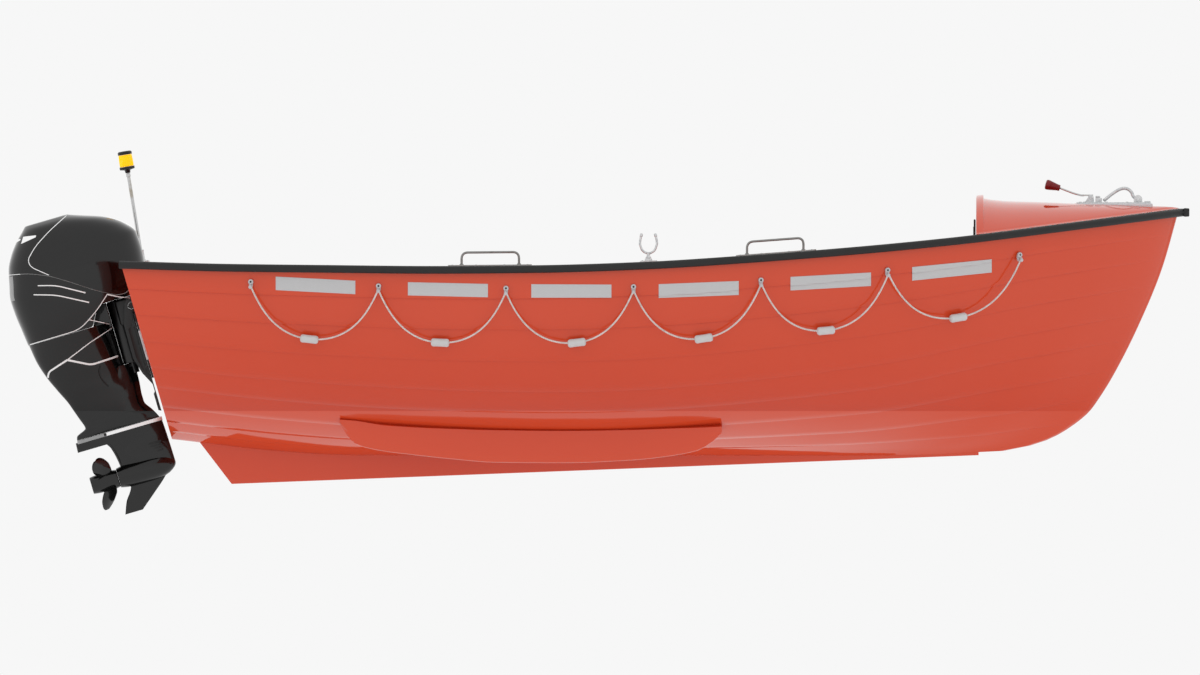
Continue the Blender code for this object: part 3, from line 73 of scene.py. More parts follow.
# Height, x of the stem's fore edge
STEM = (
    (0.117, 1.350), (0.1233, 1.3605), (0.136, 1.436), (0.148, 1.504),
    (0.1726, 1.591), (0.1973, 1.648), (0.2466, 1.726), (0.2959, 1.784),
    (0.3453, 1.821), (0.4439, 1.8825), (0.6412, 1.983), (0.8878, 2.085),
    (1.130, 2.154),
)
# Share of the length, deadrise, bottom handle, flare, side handle
SECTIONS = (
    (0.0, 16.0, 0.42, 4.0, 0.42),
    (0.46, 9.0, 0.63, 3.0, 0.48),
    (0.75, 17.0, 0.50, 7.0, 0.46),
    (0.9, 36.0, 0.30, 13.0, 0.42),
    (1.0, 90.0, 0.30, 0.0, 0.40),
)
STRAKES = (0.0, 0.11, 0.21, 0.33, 0.455, 0.56, 0.68, 0.79, 0.892, 1.0)
CAVITY_START = 0.0107
CAVITY_END = 0.97
FLANGE_WIDTH = 0.060
FLANGE_DEPTH = 0.022
# Width of the flange along the top of the transom, as a share of the length
TRANSOM_FLANGE_SHARE = 0.0119
WELL_HALF_WIDTH = 0.300
WELL_BOTTOM_HEIGHT = 0.707
# x of the keel's top, its bottom, height of the bottom
KEEL = (
    (-1.874, -1.739, 0.000), (-0.90, -0.80, 0.0362), (0.25, 0.30, 0.0786),
    (1.20, 1.20, 0.1132), (1.33, 1.33, 0.1182),
)
# x, height of a bilge fin's lower edge, height of its upper edge
FIN = (
    (-1.296, 0.250, 0.264), (-1.234, 0.165, 0.260), (-1.130, 0.137, 0.243),
    (-0.999, 0.120, 0.233), (-0.830, 0.102, 0.226), (-0.660, 0.0884, 0.221),
    (-0.378, 0.0863, 0.218), (-0.096, 0.0974, 0.222), (0.050, 0.113, 0.227),
    (0.174, 0.137, 0.231), (0.240, 0.175, 0.234), (0.275, 0.210, 0.236),
)
SOLE_HEIGHT = 0.270
BENCH_HEIGHT = 0.620
BENCH_INNER_Y = 0.480
BENCH_AFT_X = -1.90
SOLE_AFT_X = -1.72
BULKHEAD_X = 1.318
# x of the aft and fore edges of the two thwarts
THWARTS = (("aft_thwart", -1.36, -1.08), ("mid_thwart", 0.20, 0.46))
# Station, rise of the foredeck's crown above the gunwale
DECK_CROWN = (
    (0.822, 0.1425), (0.84, 0.1239), (0.87, 0.1021), (0.9, 0.0791), (0.925, 0.0607),
    (0.95, 0.0421), (0.97, 0.0269), (0.985, 0.0159), (0.990, 0.0120), (0.995, 0.0068),
    (0.998, 0.0028), (0.9995, 0.0010),
)
DECK_LIP_RISE = 0.1595
DECK_EDGE = 0.002
DECK_INSET = 0.010
DECK_SKIN = 0.008

# Grab lines: x and height of the eyes, then the rope between them
EYES = (
    (-1.6610, 0.822), (-1.1360, 0.805), (-0.6124, 0.7955), (-0.0884, 0.8015),
    (0.4350, 0.829), (0.9550, 0.870), (1.4965, 0.933),
)
ROPE_DIAMETER = 0.008
ROPE_SAG = 0.207
CATENARY = 0.40
ROPE_START = 0.003
EYE_REACH = 0.016
EYE_RISE = 0.009
EYE_DROP = 0.0125
ROPE_CLEAR = 0.019
# How far the floats draw a bight in to the hull's side, as a share of the space between them
ROPE_LEAN = 0.85
# Steps of the rope's line from the middle of each bight forward to its float
FLOAT_STEPS = (-8, -3, 10, 8, 0, 7)
ROPE_LAY = 0.027
ROPE_STEP = 0.0026
# Radius, length and rounding of a float
FLOAT = (0.0170, 0.0750, 0.0110)

# Outboard engine, in its own frame: x forward, z up the drive shaft
ENGINE_PLACE = (Matrix.Translation((-2.20751, 0.0, 0.4069))
                @ Matrix.Rotation(-math.atan(TRANSOM_SLOPE), 4, "Y"))
PROPELLER_Z = -0.656
BLADE_ANGLE = 156
# z, x of the back, x of the front, half width of the cowl
COWL = (
    (-0.190, -0.352, 0.000, 0.060),
    (-0.130, -0.372, 0.004, 0.085),
    (-0.080, -0.384, 0.006, 0.110),
    (-0.028, -0.393, 0.012, 0.135),
    (0.040, -0.401, 0.075, 0.160),
    (0.100, -0.408, 0.140, 0.175),
    (0.165, -0.411, 0.163, 0.185),
    (0.230, -0.398, 0.168, 0.188),
    (0.295, -0.382, 0.164, 0.182),
    (0.345, -0.356, 0.126, 0.168),
    (0.390, -0.322, 0.060, 0.145),
    (0.425, -0.287, -0.035, 0.112),
    (0.4445, -0.268, -0.092, 0.060),
)
COWL_TOP = 0.4445
COWL_FLOOR = ((-0.45, -0.0297), (-0.115, -0.0297), (-0.085, 0.030), (-0.055, 0.051),
              (0.25, 0.051))
UPPER_SEAM = ((-0.45, 0.285), (-0.311, 0.256), (-0.230, 0.223), (-0.154, 0.174),
              (-0.064, 0.112), (0.022, 0.066), (0.070, 0.070), (0.100, 0.160), (0.25, 0.165))
# z, x of the back, x of the front, half width of the leg
LEG = (
    (-0.030, -0.390, -0.037, 0.118),
    (-0.100, -0.380, -0.037, 0.085),
    (-0.180, -0.356, -0.037, 0.062),
    (-0.240, -0.330, -0.036, 0.048),
    (-0.2590, -0.3213, -0.036, 0.0455),
    (-0.300, -0.302, -0.002, 0.040),
    (-0.349, -0.2855, 0.000, 0.036),
    (-0.380, -0.275, 0.000, 0.034),
    (-0.422, -0.2625, 0.024, 0.031),
    (-0.445, -0.305, 0.037, 0.029),
    (-0.461, -0.3095, 0.044, 0.028),
)
# x, z of the leg's neck under the lower cowl
LEG_NECK = ((-0.1146, -0.0305), (-0.0846, 0.0290), (-0.0547, 0.0500), (-0.037, 0.0505),
            (-0.037, -0.0500), (-0.100, -0.0500))
LEG_NECK_HALF_WIDTH = 0.045
# z, x of the back, x of the front, half width of the trim tab under the plate
TRIM_TAB = ((-0.470, -0.3180, -0.100, 0.022), (-0.510, -0.3205, -0.120, 0.018))
# x, z of a clamp bracket's outline below its tilt tube
CLAMP_AFT = ((0.008, -0.060), (0.006, -0.200), (0.0267, -0.2708), (0.0540, -0.3245),
             (0.0540, -0.356), (0.0470, -0.364), (0.0470, -0.434))
TILT_X = 0.060
TILT_Z = 0.010
SWIVEL_TOP = 0.0503
SWIVEL_FOOT = -0.2148
# Radius of the swivel column, close to the leg that turns round it
COLUMN_RADIUS = 0.0367
TILLER_DROOP = math.radians(19.5)
STRUT = ((-0.470, -0.235, 0.050, 0.028), (-0.530, -0.185, 0.053, 0.026),
         (-0.600, -0.170, 0.055, 0.032), (-0.656, -0.165, 0.056, 0.030))
SKEG = ((-0.650, -0.150, 0.040, 0.020), (-0.700, -0.150, 0.000, 0.010),
        (-0.760, -0.185, -0.070, 0.006), (-0.808, -0.204, -0.129, 0.003))


def up(height):
    """z of a height above the heel of the keel."""
    return height - DRAUGHT


def blend_table(table, key, column=1):
    """Smooth value of a table at a key, through every row."""
    keys = [row[0] for row in table]
    values = [row[column] for row in table]
    last = len(keys) - 1
    if key <= keys[0]:
        return values[0]
    if key >= keys[last]:
        return values[last]
    i = bisect.bisect_right(keys, key) - 1

    def slope(j):
        if j == 0:
            return (values[1] - values[0]) / (keys[1] - keys[0])
        if j == last:
            return (values[j] - values[j - 1]) / (keys[j] - keys[j - 1])
        before = (values[j] - values[j - 1]) / (keys[j] - keys[j - 1])
        after = (values[j + 1] - values[j]) / (keys[j + 1] - keys[j])
        if before * after <= 0:
            return 0.0
        return 2 * before * after / (before + after)

    step = keys[i + 1] - keys[i]
    u = (key - keys[i]) / step
    start = values[i] * (1 + 2 * u) * (1 - u) ** 2
    end = values[i + 1] * u * u * (3 - 2 * u)
    start_slope = slope(i) * step * u * (1 - u) ** 2
    end_slope = slope(i + 1) * step * u * u * (u - 1)
    return start + end + start_slope + end_slope


def table_row(table, key, width=4):
    """A whole row of a table at a key."""
    return (key, *(blend_table(table, key, k) for k in range(1, width)))


def spread(values, step):
    """The same run of values with more between them, no further apart than the step."""
    found = []
    for low, high in zip(values, values[1:]):
        count = max(1, math.ceil(abs(high - low) / step))
        found += [low + (high - low) * i / count for i in range(count)]
    return found + [values[-1]]


# Camera and light

METRES_PER_PIXEL = 4.40 / 1070.5
PHOTO_WIDTH = 1200
# Pixel column amidships and pixel row of the waterline
PHOTO_MIDSHIPS = 655
PHOTO_WATERLINE = 411.01
camera_data = bpy.data.cameras.new("side_camera")
camera_data.type = "ORTHO"
camera_data.ortho_scale = PHOTO_WIDTH * METRES_PER_PIXEL
camera_data.clip_end = 80.0
camera = bpy.data.objects.new("side_camera", camera_data)
camera.location = (-0.2261, -12.0, 0.3021)
camera.rotation_euler = (math.pi / 2, 0.0, 0.0)
bpy.context.scene.collection.objects.link(camera)
bpy.context.scene.camera = camera
bpy.context.scene.view_settings.view_transform = "Standard"


# Colours and nodes

def srgb(code):
    """Linear colour of an sRGB hex value."""
    found = []
    for i in (1, 3, 5):
        part = int(code[i:i + 2], 16) / 255
        found.append(part / 12.92 if part <= 0.04045 else ((part + 0.055) / 1.055) ** 2.4)
    return (*found, 1.0)


def add_node(tree, kind, settings=(), inputs=()):
    """One node with its settings, and its inputs as values or as sockets to link from."""
    node = tree.nodes.new(kind)
    for name, value in dict(settings).items():
        setattr(node, name, value)
    for name, value in dict(inputs).items():
        if isinstance(value, bpy.types.NodeSocket):
            tree.links.new(value, node.inputs[name])
        else:
            node.inputs[name].default_value = value
    return node


def new_material(name, sockets):
    """A material with its shader's fixed numbers set, and its node tree."""
    made = bpy.data.materials.new(name)
    made.use_nodes = True
    shader = made.node_tree.nodes["Principled BSDF"]
    for socket, value in sockets.items():
        shader.inputs[socket].default_value = value
    made.diffuse_color = shader.inputs["Base Color"].default_value
    return made, made.node_tree


def drive(made, colour, roughness=None, height=None, depth=0.0001):
    """Links colour, roughness and bump height into the shader. Returns the material."""
    tree = made.node_tree
    shader = tree.nodes["Principled BSDF"]
    tree.links.new(colour, shader.inputs["Base Color"])
    if roughness is not None:
        tree.links.new(roughness, shader.inputs["Roughness"])
    if height is not None:
        bump = add_node(tree, "ShaderNodeBump", {}, {"Distance": depth, "Height": height})
        tree.links.new(bump.outputs["Normal"], shader.inputs["Normal"])
    return made


def object_place(tree):
    """The object's own coordinates, in metres."""
    return add_node(tree, "ShaderNodeTexCoord").outputs["Object"]


def noise(tree, place, scale, detail=2.0, roughness=0.5):
    """Value of a noise texture."""
    return add_node(tree, "ShaderNodeTexNoise", {}, {
        "Vector": place, "Scale": scale, "Detail": detail, "Roughness": roughness}).outputs["Fac"]


def cells(tree, place, scale):
    """Distance to the middle of each cell, and three random values of it."""
    found = add_node(tree, "ShaderNodeTexVoronoi", {}, {"Vector": place, "Scale": scale})
    parts = add_node(tree, "ShaderNodeSeparateColor", {}, {"Color": found.outputs["Color"]})
    return found.outputs["Distance"], parts.outputs


def mixed(tree, share, first, second):
    """One colour at a share of 0, the other at 1."""
    return add_node(tree, "ShaderNodeMix", {"data_type": "RGBA"},
                    {"Factor": share, 6: first, 7: second}).outputs[2]


def ranged(tree, value, new, old=(0.0, 1.0)):
    """A value carried from one range to another."""
    return add_node(tree, "ShaderNodeMapRange", {}, {
        "Value": value, "From Min": old[0], "From Max": old[1],
        "To Min": new[0], "To Max": new[1]}).outputs["Result"]


def summed(tree, value, weight, rest):
    """A weighted value added to another."""
    return add_node(tree, "ShaderNodeMath", {"operation": "MULTIPLY_ADD"},
                    {0: value, 1: weight, 2: rest}).outputs["Value"]


def mapped(tree, place, rotation=(0.0, 0.0, 0.0), scale=(1.0, 1.0, 1.0)):
    """A place turned and stretched."""
    return add_node(tree, "ShaderNodeMapping", {}, {
        "Vector": place, "Rotation": rotation, "Scale": scale}).outputs["Vector"]


world = bpy.data.worlds.new("studio")
bpy.context.scene.world = world
world.use_nodes = True
world.node_tree.nodes["Background"].inputs["Color"].default_value = srgb("#F7F7F7")
world.node_tree.nodes["Background"].inputs["Strength"].default_value = 1.0


def gelcoat(name, light, dark, roughness):
    """Sprayed polyester gelcoat out of a polished mould: deep even colour under a wet gloss, with
    the faint long waves of the laminate beneath and a fine orange peel."""
    made, tree = new_material(name, {"Base Color": srgb(light), "IOR": 1.5})
    place = object_place(tree)
    # Pigment drift over about 0.5 m, then print-through of the roving at 6 mm
    drift = noise(tree, place, 2.0, 3.0)
    tint = mixed(tree, drift, srgb(dark), srgb(light))
    polish = noise(tree, place, 9.0, 4.0)
    gloss = ranged(tree, polish, (roughness * 0.7, roughness * 1.3), (0.3, 0.7))
    waves = noise(tree, place, 7.0, 1.0)
    peel = noise(tree, place, 260.0, 1.0)
    weave = noise(tree, place, 160.0, 0.0)
    fine = summed(tree, peel, 0.012, waves)
    height = summed(tree, weave, 0.014, fine)
    return drive(made, tint, gloss, height, 0.0007)


def flow_coat(name, light, dark):
    """Brushed and rolled polyester topcoat inside the boat: duller than the outside, with the
    stipple of the roller, fibre ends under it and scuffs that have gone pale."""
    made, tree = new_material(name, {"Base Color": srgb(light), "IOR": 1.5})
    place = object_place(tree)
    patches = noise(tree, place, 5.0, 6.0, 0.6)
    tint = mixed(tree, patches, srgb(dark), srgb(light))
    # Roller stipple every 4 mm, and chopped strands about 30 mm long
    stipple = noise(tree, place, 240.0, 2.0)
    turned_place = mapped(tree, place, rotation=(0.3, 0.2, 0.8), scale=(1.0, 9.0, 1.0))
    strands = noise(tree, turned_place, 34.0, 2.0)
    height = summed(tree, strands, 1.4, stipple)
    dull = ranged(tree, stipple, (0.28, 0.5))
    return drive(made, tint, dull, height, 0.0005)


def grip_deck(name, light, dark):
    """Gelcoat moulded with a non-slip grid: small square pyramids, polished on their tops where
    feet have rubbed, and darker in patches in the valleys between them."""
    made, tree = new_material(name, {"Base Color": srgb(light), "IOR": 1.5})
    place = object_place(tree)
    # Pyramids at 9 mm, drawn coarser than the real 4 mm so that they show
    waves = []
    for axis in ("X", "Y"):
        band = add_node(tree, "ShaderNodeTexWave", {"bands_direction": axis,
                                                    "wave_profile": "TRI"},
                        {"Vector": place, "Scale": 34.0})
        waves.append(band.outputs["Fac"])
    stud = add_node(tree, "ShaderNodeMath", {"operation": "MULTIPLY"}, {0: waves[0], 1: waves[1]})
    patch_noise = noise(tree, place, 11.0, 5.0)
    low = add_node(tree, "ShaderNodeMath", {"operation": "SUBTRACT", "use_clamp": True},
                   {0: patch_noise, 1: stud.outputs["Value"]})
    tint = mixed(tree, low.outputs["Value"], srgb(light), srgb(dark))
    worn = ranged(tree, stud.outputs["Value"], (0.62, 0.34))
    return drive(made, tint, worn, stud.outputs["Value"], 0.0012)


def extruded_rubber(name, code, dusty):
    """Black EPDM rubber pushed through a die: matt, with fine lines along its length and a bloom
    of grey dust on it."""
    made, tree = new_material(name, {"Base Color": srgb(code), "IOR": 1.5,
                                             "Specular IOR Level": 0.5})
    place = object_place(tree)
    bloom = noise(tree, place, 14.0, 6.0)
    tint = mixed(tree, bloom, srgb(code), srgb(dusty))
    # Die lines 1.2 mm apart over the section, so along Z here
    line_place = mapped(tree, place, scale=(2.0, 2.0, 800.0))
    lines = noise(tree, line_place, 1.0, 2.0)
    grain = noise(tree, place, 900.0)
    height = summed(tree, grain, 0.5, lines)
    matt = ranged(tree, bloom, (0.42, 0.62))
    return drive(made, tint, matt, height, 0.00012)


def moulded_plastic(name, light, dark, roughness, grain_mm=0.8, depth=0.00008):
    """Injection-moulded plastic, such as ABS or PVC: even colour, with the spark-eroded grain of
    its tool and rubbed spots where hands have made it shine."""
    made, tree = new_material(name, {"Base Color": srgb(light), "IOR": 1.46})
    place = object_place(tree)
    grain = add_node(tree, "ShaderNodeTexVoronoi", {}, {"Vector": place,
                                                        "Scale": 1000.0 / grain_mm})
    rub = noise(tree, place, 22.0, 5.0)
    tint = mixed(tree, rub, srgb(dark), srgb(light))
    shine = ranged(tree, rub, (roughness * 0.75, roughness * 1.25), (0.3, 0.7))
    return drive(made, tint, shine, grain.outputs["Distance"], depth)


def polished_steel(name, light, dark, roughness):
    """Stainless 316 tube, mechanically polished: bright, with hair-fine lines from the belt and
    a faint tea stain here and there."""
    made, tree = new_material(name, {"Base Color": srgb(light), "Metallic": 1.0})
    place = object_place(tree)
    stain = noise(tree, place, 30.0, 5.0)
    spots = ranged(tree, stain, (0.0, 1.0), (0.55, 0.75))
    tint = mixed(tree, spots, srgb(light), srgb(dark))
    # Belt lines about 0.5 mm apart
    belt_place = mapped(tree, place, scale=(40.0, 2000.0, 2000.0))
    belt = noise(tree, belt_place, 1.0, 2.0)
    shine = ranged(tree, belt, (roughness * 0.7, roughness * 1.4))
    return drive(made, tint, shine, belt, 0.00002)


def hot_dip_zinc(name, light, dark, roughness):
    """Steel dipped in molten zinc: pale grey, with flat crystals of about 8 mm that catch the
    light differently, and thick soft drips."""
    made, tree = new_material(name, {"Base Color": srgb(light), "Metallic": 1.0})
    place = object_place(tree)
    _, crystals = cells(tree, place, 125.0)
    tint = mixed(tree, crystals[0], srgb(dark), srgb(light))
    shine = ranged(tree, crystals[1], (roughness * 0.75, roughness * 1.3))
    drips = noise(tree, place, 90.0, 2.0)
    return drive(made, tint, shine, drips, 0.0004)


def engine_enamel(name, light, dark, roughness, flake):
    """Baked enamel on cast aluminium and cowl moulding: near black under a clear gloss, with a
    little flake that shows close to, and fine wash scratches."""
    made, tree = new_material(name, {"Base Color": srgb(dark), "IOR": 1.5,
                                             "Coat Weight": flake, "Coat Roughness": 0.03})
    place = object_place(tree)
    _, flakes = cells(tree, place, 1600.0)
    bright = ranged(tree, flakes[0], (0.0, 1.0), (0.8, 1.0))
    tint = mixed(tree, bright, srgb(dark), srgb(light))
    wash = noise(tree, place, 60.0, 8.0, 0.7)
    shine = ranged(tree, wash, (roughness * 0.7, roughness * 1.5), (0.35, 0.7))
    peel = noise(tree, place, 320.0)
    return drive(made, tint, shine, peel, 0.00001)


def powder_coat(name, light, dark, roughness):
    """Black powder coat on cast brackets: satin, with the pebble of the melted powder at 1.5 mm
    and paler metal where an edge has been knocked."""
    made, tree = new_material(name, {"Base Color": srgb(dark), "IOR": 1.5})
    place = object_place(tree)
    pebble = noise(tree, place, 650.0, 1.0)
    wear = noise(tree, place, 45.0, 6.0)
    chips = ranged(tree, wear, (0.0, 1.0), (0.6, 0.75))
    tint = mixed(tree, chips, srgb(dark), srgb(light))
    shine = ranged(tree, wear, (roughness * 0.8, roughness * 1.2))
    return drive(made, tint, shine, pebble, 0.00006)


def laid_fibre(name, light, dark, spacing_mm, slant):
    """Polyester yarn twisted into strands: soft white, each yarn a fine ridge at a slant to the
    rope, with a sheen along it and grey where it has picked up dirt."""
    made, tree = new_material(name, {"Base Color": srgb(light), "Roughness": 0.75,
                                             "Sheen Weight": 0.25, "Sheen Roughness": 0.4})
    flat = add_node(tree, "ShaderNodeUVMap", {"uv_map": "UVMap"}).outputs["UV"]
    yarn_place = mapped(tree, flat, rotation=(0.0, 0.0, slant))
    yarns = add_node(tree, "ShaderNodeTexWave", {"bands_direction": "X"}, {
        "Vector": yarn_place, "Scale": 314.0 / spacing_mm,
        "Distortion": 0.6})
    place = object_place(tree)
    dirt = noise(tree, place, 70.0, 6.0)
    grey = ranged(tree, dirt, (0.0, 1.0), (0.4, 0.75))
    tint = mixed(tree, grey, srgb(light), srgb(dark))
    return drive(made, tint, None, yarns.outputs["Fac"], 0.00025)


def closed_cell_foam(name, light, dark):
    """Skinned closed-cell foam: matt and soft-looking, with cells of about 1 mm just under the
    skin and finger marks in it."""
    made, tree = new_material(name, {"Base Color": srgb(light), "IOR": 1.4,
                                             "Roughness": 0.6})
    place = object_place(tree)
    cells = add_node(tree, "ShaderNodeTexVoronoi", {}, {"Vector": place, "Scale": 700.0})
    marks = noise(tree, place, 45.0, 4.0)
    tint = mixed(tree, marks, srgb(dark), srgb(light))
    height = summed(tree, cells.outputs["Distance"], 0.25, marks)
    return drive(made, tint, None, height, 0.0008)


def cell_tape(name, light, dark):
    """Retro-reflective tape: silver micro-cells sealed under clear film in a lattice of raised
    ribs, which gives a pale grey sheet with a fine diamond net."""
    made, tree = new_material(name, {"Base Color": srgb(light), "IOR": 1.5,
                                             "Metallic": 0.1, "Coat Weight": 0.2})
    flat = add_node(tree, "ShaderNodeUVMap", {"uv_map": "UVMap"}).outputs["UV"]
    # Sealed cells 4.5 mm across, from two sets of ribs that cross at 60 degrees
    ribs = []
    for turn in (0.5236, -0.5236):
        rib_place = mapped(tree, flat, rotation=(0.0, 0.0, turn))
        rib = add_node(tree, "ShaderNodeTexWave", {"bands_direction": "X"}, {
            "Vector": rib_place, "Scale": 70.0})
        ribs.append(rib.outputs["Fac"])
    net = add_node(tree, "ShaderNodeMath", {"operation": "MAXIMUM"}, {0: ribs[0], 1: ribs[1]})
    edge = ranged(tree, net.outputs["Value"], (0.0, 1.0), (0.86, 0.97))
    tint = mixed(tree, edge, srgb(dark), srgb(light))
    shine = ranged(tree, edge, (0.22, 0.45))
    return drive(made, tint, shine, edge, 0.0002)


def vinyl_film_and_highlight(name, light, dark):
    """Cut vinyl film laid on the enamel: flat and slightly satin, greyed by spray. In grey, the
    same finish is also a painted highlight round the back of the lower cowl.
    """
    made, tree = new_material(name, {"Base Color": srgb(light), "IOR": 1.46,
                                             "Roughness": 0.3})
    place = object_place(tree)
    spray = noise(tree, place, 120.0, 4.0)
    tint = mixed(tree, spray, srgb(dark), srgb(light))
    return drive(made, tint, None, spray, 0.00002)


def clear_lens(name, light, dark):
    """Amber polycarbonate, moulded with fine ribs inside: saturated yellow under a clear skin, with
    a painted glow. An even emission in its own colour stands in for light coming through it."""
    made, tree = new_material(name, {
        "Base Color": srgb(light), "IOR": 1.45, "Specular IOR Level": 0.3,
        "Subsurface Weight": 0.15, "Subsurface Radius": (1.0, 0.55, 0.05),
        "Subsurface Scale": 0.012, "Emission Color": srgb(light), "Emission Strength": 0.5})
    place = object_place(tree)
    haze = noise(tree, place, 80.0, 3.0)
    tint = mixed(tree, haze, srgb(dark), srgb(light))
    shine = ranged(tree, haze, (0.08, 0.2))
    return drive(made, tint, shine, haze, 0.0001)


def pale_floor(name, code, glow):
    """Back-lit studio floor: pale, matt and quite even, with soft shadows."""
    made, tree = new_material(name, {
        "Base Color": srgb(code), "Roughness": 0.9, "Specular IOR Level": 0.1,
        "Emission Color": srgb("#F7F7F7"), "Emission Strength": glow})
    place = object_place(tree)
    haze = noise(tree, place, 1.5, 3.0)
    tint = mixed(tree, haze, srgb("#A4A4A4"), srgb(code))
    return drive(made, tint)


GELCOAT = gelcoat("gelcoat_orange_red", "#D44827", "#D04524", 0.06)
FLOWCOAT = flow_coat("flow_coat_orange", "#D55027", "#C9461E")
GRIP_SOLE = grip_deck("grip_gelcoat_orange", "#D04C26", "#823822")
GRIP_SEAT = grip_deck("grip_gelcoat_white", "#D8D8D4", "#8E8C86")
GELCOAT_WHITE = gelcoat("gelcoat_white", "#DCDCD8", "#D4D4D0", 0.16)
RUBBER = extruded_rubber("rubber_epdm", "#070707", "#0E0E0E")
ABS_BLACK = moulded_plastic("abs_black", "#0D0D0D", "#070707", 0.35)
PVC_RED = moulded_plastic("pvc_grip_red", "#7E0A12", "#6C060E", 0.3, 1.2, 0.00015)
NYLON_GREY = moulded_plastic("nylon_light_grey", "#C9C9CB", "#BDBDC0", 0.35)
STEEL = polished_steel("stainless_polished", "#C4C4C4", "#A79F92", 0.12)
STEEL_SATIN = polished_steel("stainless_satin", "#8C8B89", "#6C6862", 0.24)
ZINC = hot_dip_zinc("steel_hot_dip_zinc", "#DADADA", "#C2C4C6", 0.35)
ENAMEL = engine_enamel("enamel_engine_black", "#161616", "#040404", 0.10, 0.0)
CASTING = powder_coat("powder_coat_black", "#141414", "#050505", 0.30)
# The rope itself is white; the faint pink in both of its colours is painted reflected light from
# the red hull
ROPE = laid_fibre("polyester_rope_white", "#E9DEDA", "#CFC3BE", 0.9, 0.6)
FOAM = closed_cell_foam("foam_float_grey", "#D2D2D2", "#C4C4C4")
TAPE = cell_tape("tape_retro_reflective", "#C9C9CA", "#BDBDBE")
VINYL = vinyl_film_and_highlight("vinyl_line_white", "#FCFCFC", "#F0F0F0")
# Grey: the seal line, the aft gearcase band, and a painted highlight round the back of the lower
# cowl
GREY_VINYL_AND_HIGHLIGHT = vinyl_film_and_highlight("grey_vinyl_and_painted_highlight", "#9A9A9A", "#8A8A8A")
PAD_NYLON = moulded_plastic("nylon_white", "#DCDCDE", "#C9C9CC", 0.4)
LENS = clear_lens("polycarbonate_amber", "#FFC600", "#FFBE00")
ANODE = powder_coat("zinc_anode", "#8E9092", "#74777A", 0.6)
FLOOR = pale_floor("studio_floor", "#A6A6A6", 0.63)


# Basic shapes

# Points nearer to each other than this are one
MERGE = 0.000002
SIDES = (("port", 1), ("stbd", -1))


def loft(rings, cap=True):
    """Skin over closed rings of points, with a flat face at each end."""
    work = bmesh.new()
    rows = [[work.verts.new(point) for point in ring] for ring in rings]
    count = len(rows[0])
    for near, far in zip(rows, rows[1:]):
        for i in range(count):
            j = (i + 1) % count
            work.faces.new((near[i], near[j], far[j], far[i]))
    if cap:
        work.faces.new(rows[0])
        work.faces.new(rows[-1])
    bmesh.ops.remove_doubles(work, verts=work.verts, dist=MERGE)
    bmesh.ops.recalc_face_normals(work, faces=work.faces)
    return work


def turn_angles(count):
    return [2 * math.pi * i / count for i in range(count)]


def turned(profile, start, axis, segments=48, hollow=False, ribs=0, depth=0.0):
    """Solid of revolution from rows of radius and distance along the axis; a hollow one has
    its last row joined to its first. A third number in a row is its share of the ribs' depth."""
    turn = Vector(axis).to_track_quat("Z", "Y").to_matrix().to_4x4()
    place = Matrix.Translation(Vector(start)) @ turn
    rings = []
    for radius, z, *share in profile:
        deep = depth * sum(share)
        ring = []
        for angle in turn_angles(segments):
            reach = radius - deep * (0.5 - 0.5 * math.cos(ribs * angle))
            ring.append(place @ Vector((reach * math.cos(angle), reach * math.sin(angle), z)))
        rings.append(ring)
    if hollow:
        rings.append(rings[0])
    return loft(rings, cap=not hollow)


def rounded_path(points, radius, steps=6):
    """The same path with each inner corner eased by an arc-like curve."""
    points = [Vector(p) for p in points]
    found = [points[0]]
    for before, corner, after in zip(points, points[1:], points[2:]):
        back = (before - corner)
        ahead = (after - corner)
        reach = min(radius, back.length * 0.5, ahead.length * 0.5)
        start = corner + back.normalized() * reach
        end = corner + ahead.normalized() * reach
        for i in range(steps + 1):
            u = i / steps
            found.append(start * (1 - u) ** 2 + corner * 2 * u * (1 - u) + end * u * u)
    found.append(points[-1])
    return found


def path_frames(points):
    """Each point of a path with two directions square to it, carried along without a twist."""
    frames = []
    side = None
    for i, point in enumerate(points):
        ahead = (points[min(i + 1, len(points) - 1)] - points[max(i - 1, 0)]).normalized()
        if side is None:
            side = ahead.orthogonal().normalized()
        side = (side - ahead * side.dot(ahead)).normalized()
        frames.append((point, side, ahead.cross(side)))
    return frames


def bar(points, radius, segments=16, ends=True):
    """Round bar along a path, its ends rounded off."""
    points = [Vector(p) for p in points]
    radii = [radius] * len(points)
    if ends:
        first = (points[0] - points[1]).normalized()
        last = (points[-1] - points[-2]).normalized()
        points = ([points[0] + first * radius * s for s in (0.5, 0.35)] + points
                  + [points[-1] + last * radius * s for s in (0.35, 0.5)])
        radii = [radius * 0.35, radius * 0.8] + radii + [radius * 0.8, radius * 0.35]
    rings = []
    for (point, side, other), size in zip(path_frames(points), radii):
        rings.append([point + side * size * math.cos(a) + other * size * math.sin(a)
                      for a in turn_angles(segments)])
    return loft(rings)


def block(low, high, bevel=0.002, segments=3):
    """Box between two corners with its edges rounded."""
    work = bmesh.new()
    bmesh.ops.create_cube(work, size=1.0)
    size = [b - a for a, b in zip(low, high)]
    middle = [(a + b) / 2 for a, b in zip(low, high)]
    bmesh.ops.scale(work, vec=size, verts=work.verts)
    bmesh.ops.bevel(work, geom=work.edges[:], offset=bevel, segments=segments, profile=0.5,
                    affect="EDGES")
    bmesh.ops.translate(work, vec=middle, verts=work.verts)
    return work


